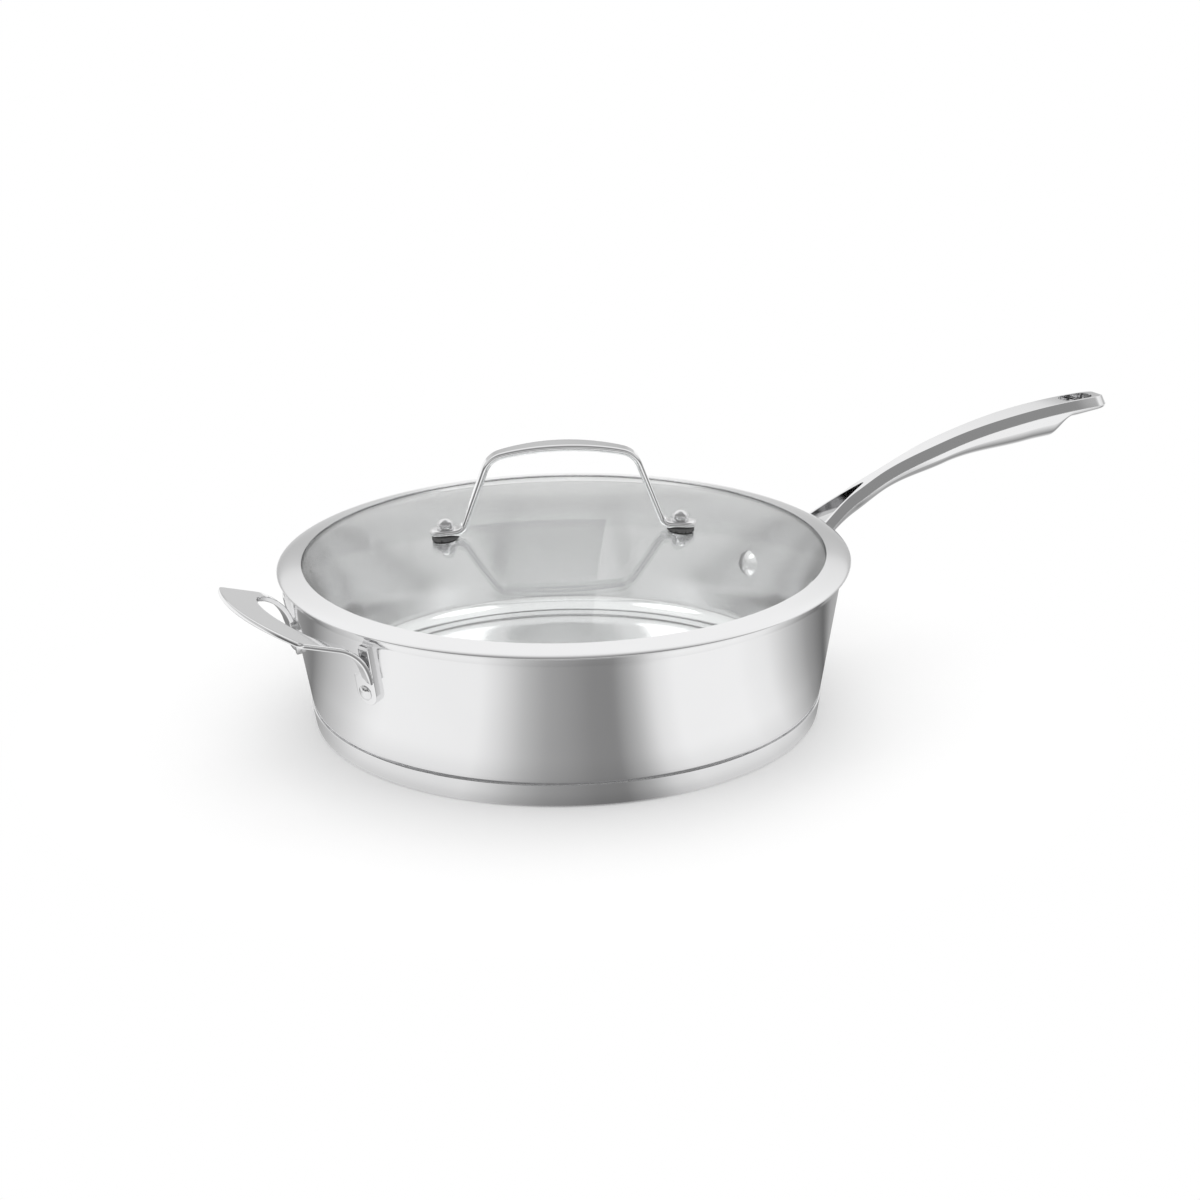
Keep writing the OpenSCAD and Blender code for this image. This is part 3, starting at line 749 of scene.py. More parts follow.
@dataclass
class Plate:
    """Plate cut along an outline, its edges rounded, and bent into place.

    The outline and the rows are flat. A row is a chord over the plate, and the rows follow each other.
    """

    outline: Sequence[Vector]
    rows: Sequence[Tuple[Vector, Vector]]
    thickness: float
    edge: float
    flat_back: bool = False
    steps: int = 20

    def inset(self, p: Vector) -> float:
        """Distance of a point from the outline."""
        nearest = 1.0
        for a, b in zip(self.outline, list(self.outline[1:]) + [self.outline[0]]):
            d, q = b - a, p - a
            k = min(1.0, max(0.0, q.dot(d) / max(d.length_squared, 1e-18)))
            nearest = min(nearest, (q - d * k).length)
        return nearest

    def fall(self, p: Vector) -> float:
        """How far the rounded edge lies below the full thickness at a point."""
        gap = max(0.0, self.edge - self.inset(p))
        return self.edge - math.sqrt(max(0.0, self.edge ** 2 - gap ** 2))

    def make(self, name: str, place: Callable[[Vector, float], Vector]) -> bpy.types.Object:
        """Lofts the plate.

        Args:
            name: the piece's name.
            place: gives the place of a flat point at a level above the middle, or above the flat back.

        Returns:
            The closed solid.
        """
        top = self.thickness if self.flat_back else self.thickness / 2
        shares = [0.5 - 0.5 * math.cos(math.pi * i / self.steps) for i in range(self.steps + 1)]
        rings = []
        for left, right in self.rows:
            points = [left.lerp(right, k) for k in shares]
            falls = [self.fall(p) for p in points]
            upper = [place(p, top - fall) for p, fall in zip(points, falls)]
            lower = [place(p, 0.0 if self.flat_back else fall - top) for p, fall in zip(points, falls)]
            rings.append(upper + lower[::-1])
        return Bench.lofted(name, rings)


@dataclass
class LongHandle:
    """Cast handle: lofted grip and neck, forked root, two feet, and a hanging hole in its pocket."""

    wall: Wall = field(default_factory=Wall)
    reach: float = 369 * MM
    root_z: float = 69 * MM
    root_stand: float = 4 * MM
    root_pull: Point2 = (45 * MM, 31 * MM)
    tip_z: float = 119.8 * MM
    tip_pull: Point2 = (-104 * MM, 4.4 * MM)
    stations: Sequence[Point3] = ((155.5, 10.3, 11.4), (187.5, 4.3, 12.4), (209.5, 3.1, 11.4),
                                  (249, 5.2, 14.6), (309, 6.8, 19.4), (326.5, 6.8, 19.8),
                                  (340, 6.8, 10.4), (369, 6.2, 8.4))
    shoulder_run: float = 3.8 * MM
    shoulder_drop: float = 4.8 * MM
    tip_r: float = 11 * MM
    tip_edge: float = 0.3 * MM
    tip_slope: float = 0.85
    crease: float = 0.8 * MM
    rings: int = 170
    line_part: Point2 = (0.08, 0.9995)
    crowding: float = 1.25
    slot: Tuple[float, float, float, float] = (195.5 * MM, 0.8 * MM, 139.883 * MM, 12.9 * MM)
    hole_x: float = 352.5 * MM
    hole: Point2 = (9 * MM, 8 * MM)
    pocket: Point2 = (21.6 * MM, 10.8 * MM)
    pocket_x: float = 347.5 * MM
    pocket_z: float = 117.6 * MM
    ramp: float = 14.0
    rivet: Point2 = (31 * MM, 46 * MM)
    foot: Point2 = (27.6 * MM, 19 * MM)
    foot_shift: float = 4.3 * MM
    foot_t: float = 3.2 * MM
    leg_from: Point3 = (165.5 * MM, 9.9 * MM, 73 * MM)
    leg_from_pull: Point3 = (-13 * MM, 2 * MM, -9 * MM)
    leg_foot_pull: Point3 = (7 * MM, -7 * MM, 15 * MM)
    leg_half: Point2 = (3.4 * MM, 5.8 * MM)
    leg_land: float = 8.6 * MM
    leg_steps: int = 30
    leg_points: int = 36

    def station(self, x: float, k: int) -> float:
        """Smooth value of a column of the stations at a distance from the axis."""
        for a, b in zip(self.stations, self.stations[1:]):
            if x <= b[0] * MM or b is self.stations[-1]:
                return MM * (a[k] + (b[k] - a[k]) * smooth_step((x / MM - a[0]) / (b[0] - a[0])))
        return MM * self.stations[-1][k]

    def section(self, x: float) -> List[Vector]:
        """Half of the cross-section: flat top, creased shoulder and round belly."""
        share = max(0.0, (x - self.reach + self.tip_r) / self.tip_r)
        end = math.sqrt(max(0.0, 1 - share * share))
        outer, depth = (self.station(x, 1) + self.shoulder_run) * end, self.station(x, 2)
        flat = max(self.tip_edge, outer - self.shoulder_run * math.sqrt(end))
        drop = min(self.shoulder_drop, 0.8 * depth)
        sink = self.tip_slope * drop * max(0.0, 1 - (self.reach - x) / self.shoulder_run)
        belly = [Vector((outer * math.cos(a), -drop - (depth - drop) * math.sin(a)))
                 for a in (math.radians(d) for d in range(18, 91, 6))]
        belly[-1].x = 0.0
        brink, shoulder = Vector((flat, -sink)), Vector((outer, -drop))
        slope = (shoulder - brink).length
        first = bend(Vector((0, -sink)), brink, shoulder, min(self.crease, flat, slope) * 0.5, 4)
        reach = min(self.crease, slope, (belly[0] - shoulder).length)
        second = bend(brink, shoulder, belly[0], reach * 0.6, 4)
        return [Vector((0, -sink)), first[0] * 0.5 + Vector((0, -sink)) * 0.5, *first,
                (first[-1] + second[0]) / 2, *second, *belly]

    def ring(self, k: float) -> List[Vector]:
        """Whole cross-section at a share of the top line."""
        root = Vector((self.wall.r(self.root_z) + self.root_stand, self.root_z))
        tip = Vector((self.reach, self.tip_z))
        at = curve_point([root, root + Vector(self.root_pull), tip + Vector(self.tip_pull), tip], k)
        half = self.section(at.x)
        return [Vector((at.x, p.x, at.y + p.y)) for p in half] + \
               [Vector((at.x, -p.x, at.y + p.y)) for p in half[-2:0:-1]]

    def leg(self, side: int) -> bpy.types.Object:
        """Lofts a leg from the rails down and outward to its foot."""
        y, z = self.rivet[0], self.rivet[1] + self.leg_land
        angle, r = self.wall.angle(self.rivet[0], self.rivet[1]), self.wall.r(z) + self.foot_t / 2
        flip = Vector((1, side, 1))
        foot = Vector((r * math.cos(angle), side * y, z))
        start = Vector(self.leg_from) * flip
        line = [start, start + Vector(self.leg_from_pull) * flip,
                foot + Vector(self.leg_foot_pull) * flip, foot]
        wallward = Vector((-math.cos(angle), -side * math.sin(angle), 0))
        ends = (self.foot[1] / 2 - 1 * MM, self.foot_t / 2)
        rings = []
        for i in range(self.leg_steps + 1):
            k, d = i / self.leg_steps, 0.25 / self.leg_steps
            along = unit(curve_point(line, min(1, k + d)) - curve_point(line, max(0, k - d)))
            across = unit(Vector((0, 0, 1)).lerp(wallward, k).cross(along))
            up = across.cross(along)
            half = [a + (b - a) * smooth_step(k) for a, b in zip(self.leg_half, ends)]
            turns = [2 * math.pi * j / self.leg_points for j in range(self.leg_points)]
            rings.append([curve_point(line, k) + across * half[0] * squared(math.cos(a))
                          + up * half[1] * squared(math.sin(a)) for a in turns])
        return Bench.lofted("fork_leg", rings)

    def foot_plate(self, side: int) -> bpy.types.Object:
        """Lofts a foot, round at both ends, on the wall."""
        angle = side * self.wall.angle(*self.rivet)
        r = self.wall.r(self.rivet[1])
        centre = Vector((r * math.cos(angle), r * math.sin(angle), self.rivet[1]))
        half, straight = self.foot[1] / 2, (self.foot[0] - self.foot[1]) / 2
        ends = [Vector((self.foot_shift + p.x, p.y)) for p in
                arc((straight, 0), half, -90, 90, 20) + arc((-straight, 0), half, 90, 270, 20)]
        low, high = self.foot_shift - straight - half, self.foot_shift + straight + half
        rows = []
        for u in crowded(low + 0.01 * MM, high - 0.01 * MM, 36):
            off = max(0.0, abs(u - self.foot_shift) - straight)
            w = math.sqrt(max(0.0, half ** 2 - off ** 2))
            rows.append((Vector((u, -w)), Vector((u, w))))
        plate = Plate(ends, rows, self.foot_t, 0.7 * MM, True)
        return plate.make("fork_foot", lambda p, out: self.wall.on_face(centre, p.x, p.y, out))

    def prism(self, outline: Sequence[Vector], low: float, high: float) -> bpy.types.Object:
        """Upright cutter over an outline."""
        return Bench.lofted("cutter", [[Vector((p.x, p.y, z)) for p in outline] for z in (low, high)])

    def make(self, steel: bpy.types.Material, shade_in_hole: bpy.types.Material) -> None:
        """Builds the handle and dresses it, the upright walls of its hole in dark steel that paints the
        shade in the hole.
        """
        low, high = self.line_part
        shares = [low + (high - low) * (1 - (1 - i / self.rings) ** self.crowding)
                  for i in range(self.rings + 1)]
        grip = Bench.lofted("handle_grip", [self.ring(k) for k in shares])
        legs = [self.leg(side) for side in (-1, 1)]
        apex, half, end_x, end_half = self.slot
        gap = [Vector((end_x, -end_half)), *arc((apex - half, 0), half, -90, 90, 8),
               Vector((end_x, end_half))]
        slot = self.prism(gap, self.rivet[1], self.tip_z)
        hole = self.prism([Vector((self.hole_x, 0)) + p for p in rounded_slot(*self.hole)],
                          self.tip_z - 20 * MM, self.tip_z + 20 * MM)
        ramp = math.radians(self.ramp)
        pocket = self.prism(rounded_slot(*self.pocket), 0, 18 * MM)
        place = Matrix.Translation((self.pocket_x, 0, self.pocket_z))
        pocket.data.transform(place @ Matrix.Rotation(ramp, 4, "Y"))
        Bench.cut(grip, slot, pocket, hole)
        for leg in legs:
            Bench.cut(leg, slot)
        Bench.scrap(slot, pocket, hole)
        feet = [self.foot_plate(side) for side in (-1, 1)]
        piece = Bench.joined("long_handle_casting", [grip, *legs, *feet])
        Bench.smooth(piece, 32)
        Bench.level_normals(piece)
        Bench.hand_over(piece, Body.PAN, Slot.CAST, "long_handle", steel, shade_in_hole)
        # Painted shade: the upright faces inside the hanging hole take the dark second material.
        for face in piece.data.polygons:
            off = face.center - Vector((self.hole_x, 0, face.center.z))
            inside = abs(off.x) < self.hole[0] * 0.55 and abs(off.y) < self.hole[1] * 0.55
            face.material_index = int(inside and abs(face.normal.z) < 0.3)


@dataclass
class Path:
    """Side line of a bent strap, measured along its length."""

    points: Sequence[Vector]

    def __post_init__(self) -> None:
        """Adds up the lengths."""
        self.lengths = [0.0]
        for a, b in zip(self.points, self.points[1:]):
            self.lengths.append(self.lengths[-1] + (b - a).length)
        self.normals = []
        for i in range(len(self.points)):
            d = self.points[min(i + 1, len(self.points) - 1)] - self.points[max(i - 1, 0)]
            self.normals.append(unit(Vector((-d.y, d.x))))

    def at(self, s: float) -> Tuple[Vector, Vector]:
        """Point and left normal at a length."""
        i = 0
        while i < len(self.points) - 2 and s > self.lengths[i + 1]:
            i += 1
        k = (s - self.lengths[i]) / (self.lengths[i + 1] - self.lengths[i])
        return (self.points[i] + (self.points[i + 1] - self.points[i]) * k,
                unit(self.normals[i].lerp(self.normals[i + 1], min(1.0, max(0.0, k)))))

    def length_at(self, x: float) -> float:
        """Length at which the line reaches a sideways distance."""
        for i, (a, b) in enumerate(zip(self.points, self.points[1:])):
            if x <= b.x or i == len(self.points) - 2:
                return self.lengths[i] + (self.lengths[i + 1] - self.lengths[i]) * (x - a.x) / (b.x - a.x)
        return self.lengths[-1]


@dataclass
class HelperHandle:
    """Loop bent from plate, its legs ending in feet with upright tabs."""

    wall: Wall = field(default_factory=Wall)
    reach: float = 187 * MM
    grip_w: float = 18 * MM
    half_w: float = 50.5 * MM
    bow: float = 10 * MM
    corner_r: float = 3 * MM
    gap_r: float = 14 * MM
    leg_w: float = 9 * MM
    thickness: float = 2.7 * MM
    edge: float = 0.8 * MM
    knee_h: float = 23 * MM
    rise: float = 18.0
    bend_r: float = 24 * MM
    leg_share: float = 0.96
    rivet: Point2 = (42 * MM, 52.5 * MM)
    land: float = 6.1 * MM
    foot_w: float = 14 * MM
    foot_shift: float = 0.5 * MM
    foot_up: float = 8.1 * MM
    foot_t: float = 3.2 * MM
    tab_w: float = 7.6 * MM
    tab_gap: float = 0.6 * MM
    tab_blend: float = 0.75
    bow_ease: float = 1.2

    def side_line(self) -> Path:
        """Side view of the plate's middle, from foot to grip."""
        wall, z = self.wall, self.rivet[1] + self.land
        out = self.foot_t - self.thickness / 2
        foot = Vector((wall.r(z) * math.cos(wall.angle(*self.rivet)) + wall.level(out), z))
        rise = self.rivet[1] + self.knee_h - z
        knee = foot + Vector((rise * wall.taper, rise))
        slope = math.radians(self.rise)
        edge = Vector((self.reach, knee.y + (self.reach - knee.x) * math.tan(slope)))
        turn = (math.pi / 2 - wall.tilt - slope) / 2
        room = self.leg_share * (knee - foot).length / math.tan(turn)
        return Path(bent([foot, knee, edge], [min(self.bend_r, room)], 24))

    def bowed(self, half: float, centre_x: float, bow_r: float, r: float,
              start_x: float) -> List[List[Vector]]:
        """Parts of an outline in plan: straight side, round corner and bowed end, up to the middle."""
        a = math.asin((half - self.bow_ease * r) / bow_r)
        bow = arc((centre_x, 0), bow_r, -math.degrees(a), 0, 40)
        turn = Vector((centre_x + math.sqrt(bow_r ** 2 - half ** 2), -half))
        corner = bend(Vector((start_x, -half)), turn, bow[0], r, 20)
        side = [Vector((start_x, -half)).lerp(corner[0], i / 40) for i in range(41)]
        return [side, corner, bow]

    def loop(self) -> bpy.types.Object:
        """Lofts the loop between its outer and its inner outline."""
        line = self.side_line()
        bow_r = (self.half_w ** 2 + self.bow ** 2) / (2 * self.bow)
        centre_x = self.reach - bow_r
        start = line.points[0].x
        parts = zip(self.bowed(self.half_w, centre_x, bow_r, self.corner_r, start),
                    self.bowed(self.half_w - self.leg_w, centre_x, bow_r - self.grip_w, self.gap_r, start))
        pairs: List[Tuple[Vector, Vector]] = []
        for outer, inner in parts:
            inner = resampled(inner, len(outer))
            pairs += list(zip(outer, inner))[(1 if pairs else 0):]
        flat = [tuple(Vector((line.length_at(p.x), p.y)) for p in pair) for pair in pairs]
        flat += [tuple(Vector((p.x, -p.y)) for p in pair) for pair in flat[-2::-1]]
        outline = [pair[0] for pair in flat] + [pair[1] for pair in reversed(flat)]
        plate = Plate(outline, flat, self.thickness, self.edge)

        def place(p: Vector, level: float) -> Vector:
            """Place of a flat point on the bent line, turned to -X."""
            at, normal = line.at(p.x)
            at = at + normal * level
            return Vector((-at.x, p.y, at.y))

        return plate.make("helper_loop", place)

    def foot_plate(self, side: int) -> bpy.types.Object:
        """Lofts a foot with its upright tab on the wall."""
        angle = math.pi + side * self.wall.angle(*self.rivet)
        r, half = self.wall.r(self.rivet[1]), self.foot_w / 2
        centre = Vector((r * math.cos(angle), r * math.sin(angle), self.rivet[1]))
        tab_up = (self.wall.top_z - self.tab_gap - self.rivet[1]) / math.cos(self.wall.tilt)
        blend = half * self.tab_blend
        rows: List[Tuple[Vector, Vector]] = []
        ups = crowded(0.01 * MM - half, 0, 20) + [self.foot_up * i / 20 for i in range(1, 21)]
        ups += [self.foot_up + blend * i / 20 for i in range(1, 21)]
        top = ups[-1]
        ups += [top + (tab_up - top) * i / 16 for i in range(1, 17)]
        for u in ups:
            low = -math.sqrt(max(0.0, half ** 2 - u ** 2)) if u < 0 else -half
            high = -low if u < 0 else half
            if u > self.foot_up:
                low = -half + (self.foot_w - self.tab_w) * smooth_step((u - self.foot_up) / blend)
            rows.append((Vector((u, low)), Vector((u, high))))
        outline = [row[0] for row in rows] + [row[1] for row in reversed(rows)]
        plate = Plate(outline, rows, self.foot_t, 0.6 * MM, True, 16)
        return plate.make("helper_foot", lambda p, out: self.wall.on_face(
            centre, p.x, side * (p.y + self.foot_shift), out))

    def make(self, steel: bpy.types.Material) -> None:
        """Builds the handle and dresses it."""
        loop = self.loop()
        feet = [self.foot_plate(side) for side in (-1, 1)]
        piece = Bench.joined("helper_handle_casting", [loop, *feet])
        Bench.smooth(piece, 32)
        Bench.level_normals(piece)
        Bench.hand_over(piece, Body.PAN, Slot.CAST, "helper_handle", steel)


@dataclass
class LidHandle:
    """Strap bent over the lid, wide at its crown, slim at its legs and round at its feet."""

    lid: Lid = field(default_factory=Lid)
    turn: float = -26.5
    screw_u: float = 62.5 * MM
    height: float = 48.6 * MM
    shoulder_u: float = 38.5 * MM
    crown: float = 5.3 * MM
    thickness: float = 3.4 * MM
    edge: float = 1.5 * MM
    width: float = 13.6 * MM
    leg_w: float = 8.6 * MM
    foot_w: float = 12.6 * MM
    toe: float = 8.3 * MM
    ankle_r: float = 6.5 * MM
    shoulder_r: float = 12 * MM
    ankle_gap: float = 3 * MM
    grommet_d: float = 14.5 * MM
    grommet_t: float = 1.1 * MM
    foot_turn: float = 110.0

    def side_line(self) -> Path:
        """Side view of the strap's middle."""
        foot_z = self.lid.glass_z(self.screw_u - self.grommet_d / 2) + self.grommet_t
        level_z, crown_z = foot_z + self.thickness / 2, foot_z + self.height - self.thickness / 2
        ankle_u = self.screw_u - self.foot_w / 2 - self.ankle_gap
        crown_r = (self.shoulder_u ** 2 + self.crown ** 2) / (2 * self.crown)
        a = math.degrees(math.asin(self.shoulder_u / crown_r))
        crown = arc((0, crown_z - crown_r), crown_r, 90 + a, 90 - a, 96)
        left = bent([(-self.screw_u - self.toe, level_z), (-ankle_u, level_z), crown[0], crown[12]],
                    [self.ankle_r, self.shoulder_r], 24)[:-1] + crown[12:49]
        return Path(left + [Vector((-p.x, p.y)) for p in left[-2::-1]])

    def half_width(self, u: float) -> float:
        """Half of the strap's width at a distance from its middle, in plan."""
        foot_r = self.foot_w / 2
        leg_u, foot_u = self.screw_u - foot_r - self.ankle_gap, self.screw_u + self.toe - foot_r
        if u <= leg_u:
            return (self.width + (self.leg_w - self.width) * smooth_step(u / leg_u)) / 2
        turn = math.radians(self.foot_turn)
        joint = foot_u + foot_r * math.cos(turn), foot_r * math.sin(turn)
        if u < joint[0]:
            return self.leg_w / 2 + (joint[1] - self.leg_w / 2) * (u - leg_u) / (joint[0] - leg_u)
        return math.sqrt(max(0.0, foot_r ** 2 - (u - foot_u) ** 2))

    def make(self, steel: bpy.types.Material) -> None:
        """Lofts the strap and dresses it."""
        line, end = self.side_line(), self.screw_u + self.toe
        total = line.lengths[-1]
        toe = [self.foot_w / 2 * (1 - math.cos(math.pi / 2 * i / 14)) + 0.01 * MM for i in range(14)]
        middle = [toe[-1] + (total - 2 * toe[-1]) * i / 220 for i in range(1, 220)]
        rows = []
        for s in toe + middle + [total - t for t in reversed(toe)]:
            at, _ = line.at(s)
            w = self.half_width(abs(at.x))
            rows.append((Vector((s, -w)), Vector((s, w))))
        outline = [row[0] for row in rows[::2]] + [row[1] for row in reversed(rows[::2])]
        plate = Plate(outline, rows, self.thickness, self.edge, steps=16)
        turned = Matrix.Rotation(math.radians(self.turn), 3, "Z")

        def place(p: Vector, level: float) -> Vector:
            """Place of a flat point on the bent line, turned as the lid lies."""
            at, normal = line.at(p.x)
            at = at + normal * level
            return turned @ Vector((at.x, p.y, at.y))

        piece = plate.make("lid_handle_strap", place)
        Bench.smooth(piece, 40)
        Bench.hand_over(piece, Body.LID, Slot.CAST, "lid_handle", steel)


def make_fitting(name: str, node: str, body: Body, slot: Slot, material: bpy.types.Material) -> None:
    """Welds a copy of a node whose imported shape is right, smooths and dresses it."""
    piece = Bench.copied(name, node)
    Bench.smooth(piece)
    Bench.hand_over(piece, body, slot, node, material)


# Studio


@dataclass(frozen=True)
class View:
    """Camera of the photograph, its position given beside the long handle's direction."""

    position: Point3 = (0.0, -1.3730, 0.5507)
    turn: float = -29.5
    yaw: float = 0.785
    pitch: float = 19.64
    roll: float = 0.958
    focal_px: float = 2720.4
    frame_px: float = 1200.0
    sensor: float = 36.0

    def axes(self) -> Tuple[Vector, Vector, Vector]:
        """Right, up and forward directions of the camera in the model's frame."""
        yaw, pitch, roll = (math.radians(a) for a in (self.yaw, self.pitch, self.roll))
        level_right = Vector((math.cos(yaw), -math.sin(yaw), 0))
        level_ahead = Vector((math.sin(yaw), math.cos(yaw), 0))
        ahead = level_ahead * math.cos(pitch) - Vector((0, 0, math.sin(pitch)))
        over = level_ahead * math.sin(pitch) + Vector((0, 0, math.cos(pitch)))
        right = level_right * math.cos(roll) - over * math.sin(roll)
        up = level_right * math.sin(roll) + over * math.cos(roll)
        turned = Matrix.Rotation(math.radians(self.turn), 3, "Z")
        return turned @ right, turned @ up, turned @ ahead

    def make(self) -> None:
        """Adds the camera and makes it the scene's."""
        right, up, ahead = self.axes()
        turned = Matrix.Rotation(math.radians(self.turn), 3, "Z")
        data = bpy.data.cameras.new("photo_view")
        data.sensor_width = self.sensor
        data.lens = self.focal_px / self.frame_px * self.sensor
        data.clip_start, data.clip_end = 0.05, 50
        camera = bpy.data.objects.new("photo_view", data)
        bpy.context.scene.collection.objects.link(camera)
        axes = Matrix((right, up, -ahead)).transposed().to_4x4()
        camera.matrix_world = Matrix.Translation(turned @ Vector(self.position)) @ axes
        bpy.context.scene.camera = camera


@dataclass
class Studio:
    """Pale floor, white surroundings with grey cards for the steel to show, and soft lamps.

    A card is named by its direction round the pan, in degrees from the camera's side and positive to the
    right, or by its height, as the sine of its elevation. Its value is its brightness. A zone is a distance
    and the width over which it begins, and a ramp is a slope and an offset. The horizon has the distance
    at which it starts to darken, the width of that and its depth. The painted shadow of the handle on the
    floor, seen only in reflections, has the distance at which it starts, its half width, its brightness,
    where it ends and the width of its fade.
    The screen behind the pan has its left and right slope, its low and high sine and its brightness.
    """

    view: View = field(default_factory=View)
    floor_half: float = 8.0
    floor_z: float = -0.2 * MM
    cards: Sequence[Point2] = (
        (-99, .22), (-84, .52), (-72, .71), (-60, .95), (-55, 1), (-24, .96), (-17.5, .78), (-11, .54),
        (-5, .40), (1, .34), (7.5, .27), (13.7, .26), (20, .50), (26, .855), (32.5, 1), (55, 1),
        (57.5, .97), (67, .92), (77, .66), (90, .36), (106, .145), (116, .40), (130, .45), (150, .7))
    cards_end: float = 0.7
    cards_zone: Point2 = (0.28, 0.09)
    # Painted contact shadow round the base: greys by distance from the axis that darken the floor the steel
    # reflects.
    foot: Sequence[Point2] = ((.138, .72), (.145, .85), (.17, 1))
    horizon: Tuple[float, float, float] = (0.8, 1.2, 0.75)
    near_ramp: Point2 = (-3.0, 0.5)
    # Painted shadow of the handle on the floor, seen only in the steel's reflections.
    handle_shadow: Tuple[float, float, float, float, float] = (0.20, 0.10, 0.28, 0.50, 0.15)
    root_slope: float = 20.0
    bare_zone: Point2 = (0.11, 0.19)
    side_ramp: Point2 = (5.0, 0.2)
    far_side: Sequence[Point2] = ((0, .66), (.09, .66), (.20, .54), (.285, .60), (.32, .84), (.46, .94),
                                  (.55, 1), (.78, 1), (.87, .80), (.94, .50), (.985, .40))
    near_side: Sequence[Point2] = ((0, .12), (.14, .18), (.28, .70), (.40, .80), (.48, .5), (.58, .30),
                                   (.94, .28), (1, .4))
    screen: Tuple[float, float, float, float, float] = (-0.10, 0.022, 0.265, 0.66, 0.45)
    screen_fade: float = 0.02
    lamp_size: float = 1.2
    lamps: Sequence[Tuple[str, Point3, float]] = (("left_lamp", (-1.6, -0.9, 1.9), 4.0),
                                                  ("right_lamp", (1.6, -0.9, 1.9), 3.0),
                                                  ("top_lamp", (0.15, 0.9, 1.8), 4.0))

    def heading(self) -> Tuple[Point2, Point2]:
        """Level directions away from the camera and to its right."""
        turn = math.radians(self.view.turn - self.view.yaw)
        return (-math.sin(turn), math.cos(turn)), (math.cos(turn), math.sin(turn))

    def make_world(self) -> None:
        """White to the eye and through glass; to metal, a white room with grey cards."""
        world = bpy.data.worlds.new("studio")
        bpy.context.scene.world = world
        tree = Tree(world)
        x, y, z = tree.axes(tree.node("TexCoord", output="Generated"))
        (ax, ay), (rx, ry) = self.heading()
        ahead = x * ax + y * ay
        side = ahead.math("MULTIPLY_ADD", *self.side_ramp, clamp=True)
        room = tree.tinted(side, tree.grey(z, self.near_side), tree.grey(z, self.far_side))
        path = tree.node("LightPath").socket.node
        glossy, through, sharp = (Link(tree, path.outputs[kind]) for kind in
                                  ("Is Glossy Ray", "Is Transmission Ray", "Is Singular Ray"))
        left, right, low, high, dark = self.screen
        slope = (x * rx + y * ry) / ahead
        inside = (slope - left).math("DIVIDE", self.screen_fade, clamp=True) \
            * slope.math("LESS_THAN", right) * z.math("GREATER_THAN", low) * z.math("LESS_THAN", high) \
            * ahead.math("GREATER_THAN", 0.0)
        shaded = tree.tinted(inside * glossy * sharp * (1 - through), (1, 1, 1, 1), (dark, dark, dark, 1))
        seen = tree.tinted(glossy * (1 - through), (1, 1, 1, 1), room)
        seen = tree.node("Mix", {"data_type": "RGBA", "blend_type": "MULTIPLY"},
                         {0: 1.0, 6: seen, 7: shaded}, 2)
        tree.finish(tree.node("Background", inputs={0: seen, 1: 1.0}), "OutputWorld")

    def make_floor(self) -> None:
        """White floor that keeps the shadow near the pan, with the cards that the steel shows and painted
        shadows of the base and the handle among them.
        """
        Bench.clear()
        bpy.ops.mesh.primitive_plane_add(size=2 * self.floor_half, location=(0, 0, self.floor_z))
        floor = Bench.named("studio_floor")
        made = bpy.data.materials.new("pale_floor")
        tree = Tree(made)
        x, y, _ = tree.axes(tree.node("TexCoord", output="Object"))
        (ax, ay), (rx, ry) = self.heading()
        radius = (x * x + y * y) ** 0.5
        around = (x * rx + y * ry).math("ARCTAN2", (x * ax + y * ay) * -1.0) / (2 * math.pi) + 0.5
        stops = [(a / 360 + 0.5, grey) for a, grey in self.cards]
        cards = tree.grey(around, [(0, self.cards_end), *stops, (1, self.cards_end)])
        # Painted contact shadow: the floor that the steel reflects darkens near the pan's base.
        foot = tree.grey(radius * 2.0, [(2 * r, grey) for r, grey in self.foot])
        away = (radius - self.cards_zone[0]).math("DIVIDE", self.cards_zone[1], clamp=True)
        near = (x * ax + y * ay).math("MULTIPLY_ADD", *self.near_ramp, clamp=True)
        start, width, depth = self.horizon
        far = 1 - (radius - start).math("DIVIDE", width, clamp=True) * near * depth
        # Painted shadow of the handle: the floor that the steel reflects is darker in a strip under the
        # handle.
        root, half, dark, end, fade = self.handle_shadow
        before = (root - x).math("MAXIMUM", 0.0) * self.root_slope
        beside = (y.math("ABSOLUTE") / half).math("ADD", before, clamp=True)
        under = (beside * (1 - dark) + dark).math("MAXIMUM", (x - end).math("DIVIDE", fade, clamp=True))
        shown = tree.tinted(away, cards * foot, far * under)
        matte = tree.node("BsdfPrincipled", inputs={"Base Color": (0.97, 0.97, 0.97, 1), "Roughness": 0.9})
        lit = tree.node("Emission", inputs={0: shown, 1: 1.0})
        white = tree.node("Emission", inputs={0: (1, 1, 1, 1), 1: 1.0})
        path = tree.node("LightPath").socket.node
        glossy, eye = (Link(tree, path.outputs[kind]) for kind in ("Is Glossy Ray", "Is Camera Ray"))
        bare = (radius - self.bare_zone[0]).math("DIVIDE", self.bare_zone[1], clamp=True) * eye
        plain = tree.node("MixShader", inputs={0: bare, 1: matte, 2: white})
        tree.finish(tree.node("MixShader", inputs={0: glossy, 1: plain, 2: lit}))
        floor.data.materials.append(made)

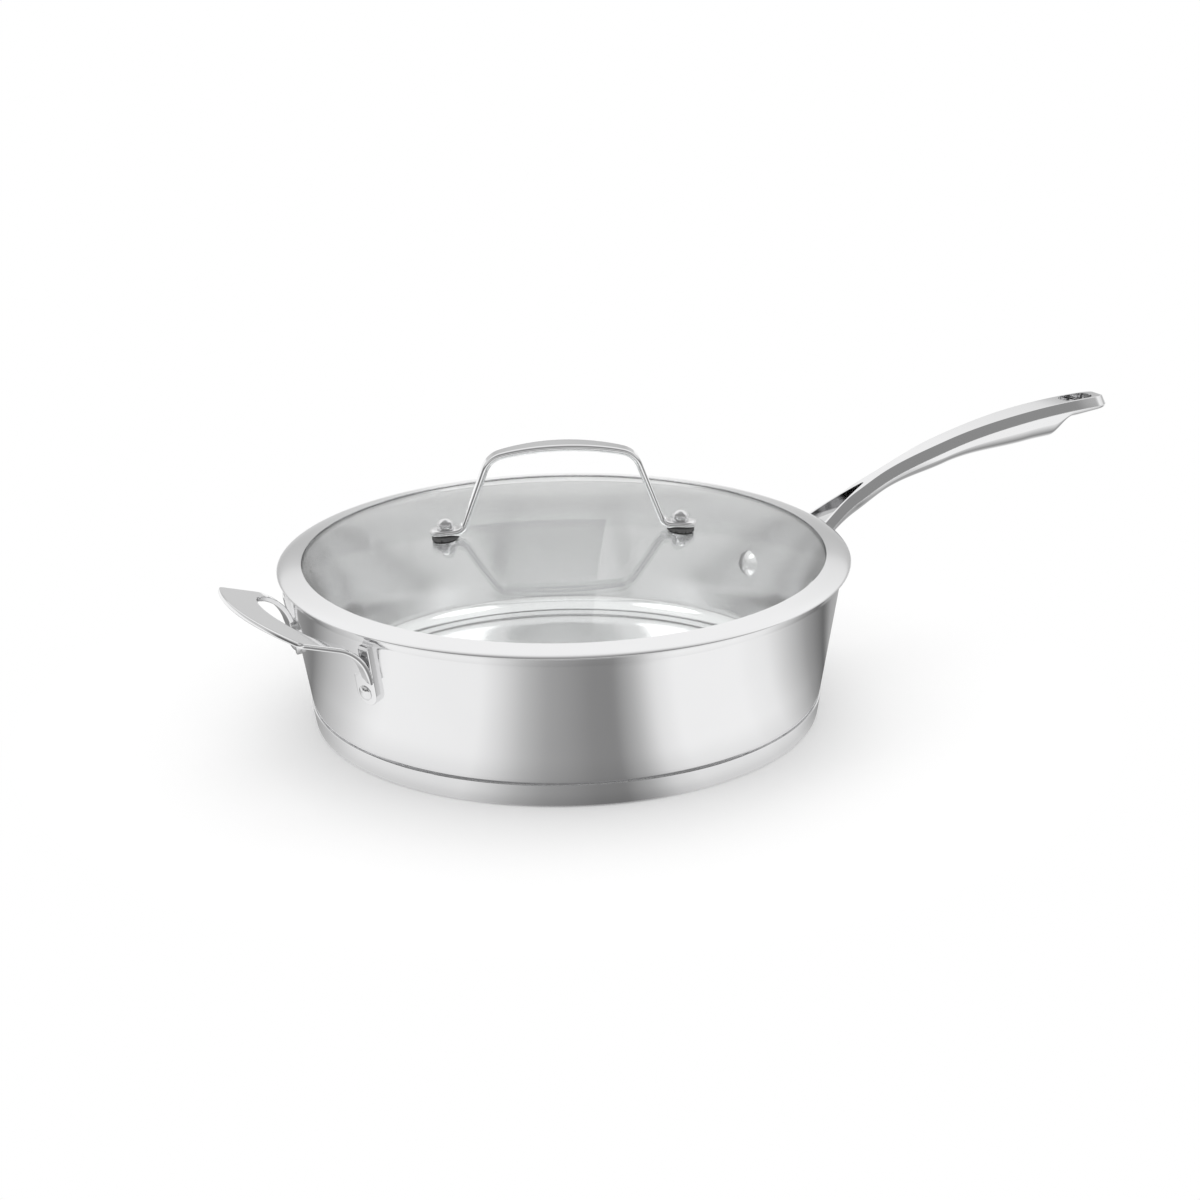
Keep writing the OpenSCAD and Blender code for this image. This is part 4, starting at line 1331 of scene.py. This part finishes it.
    def make_lamps(self) -> None:
        """Large soft lamps on both sides of and over the pan, which polished steel doesn't show."""
        (ax, ay), (rx, ry) = self.heading()
        for name, (right, ahead, up), energy in self.lamps:
            lamp = bpy.data.lights.new(name, "AREA")
            lamp.shape, lamp.size, lamp.energy = "DISK", self.lamp_size, energy
            holder = bpy.data.objects.new(name, lamp)
            bpy.context.scene.collection.objects.link(holder)
            place = Vector((right * rx + ahead * ax, right * ry + ahead * ay, up))
            holder.location = place
            holder.rotation_mode = "QUATERNION"
            holder.rotation_quaternion = (-place).to_track_quat("-Z", "Y")
            holder.visible_glossy = False


def main() -> None:
    """Builds and dresses the object, the studio and the camera."""
    logging.basicConfig(level=logging.INFO, format="%(name)s: %(message)s")
    bpy.context.scene.view_settings.view_transform = "Standard"
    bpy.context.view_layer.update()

    polished = Metal("polished_steel", (0.87, 0.87, 0.875), 0.12, 0.02).material()
    brushed = Metal("brushed_steel", (0.95, 0.95, 0.955), 0.65, 0.06, 0.65, 0.25, grain=0.004).material()
    # Painted shade: dark steel for the inner walls of the hanging hole, where shade falls.
    hole_painted_shade = Metal("cast_steel_hole_painted_shade", (0.20, 0.20, 0.20), 0.35, 0.05, round_axis=False).material()
    # Painted shade: dark steel for the rim's inner skirt and ledge under the glass, where shade falls.
    shaded = Metal("skirt_painted_shade", (0.14, 0.14, 0.142), 0.30, 0.05).material()
    cast = Metal("cast_steel", (0.86, 0.86, 0.865), 0.07, 0.02, waviness=0.02, round_axis=False).material()
    rivet = Metal("rivet_steel", (0.82, 0.82, 0.825), 0.12, 0.04, round_axis=False).material()
    aluminium = Metal("core_aluminium", (0.70, 0.70, 0.71), 0.35, 0.10, grain=0.01).material()
    glass = Glass().material()
    rubber = Rubber().material()

    vessel = Vessel()
    vessel.make_shell(polished, brushed)
    vessel.make_cap(polished)
    make_fitting("base_disc", "base_core", Body.PAN, Slot.CORE, aluminium)
    lid = Lid()
    lid.make_glass(glass)
    lid.make_rim(polished, shaded)
    LongHandle().make(cast, hole_painted_shade)
    HelperHandle().make(cast)
    LidHandle().make(cast)
    for body, node in ((Body.PAN, "long_handle_rivet"), (Body.PAN, "helper_handle_rivet"),
                       (Body.LID, "lid_handle_screw"), (Body.LID, "lid_grommet"),
                       (Body.LID, "lid_washer"), (Body.LID, "lid_nut")):
        slot, finish = (Slot.RUBBER, rubber) if node == "lid_grommet" else (Slot.RIVET, rivet)
        make_fitting(node + "_pair", node + "s", body, slot, finish)

    studio = Studio()
    studio.make_world()
    studio.make_floor()
    studio.make_lamps()
    studio.view.make()


if __name__ == "__main__":
    main()
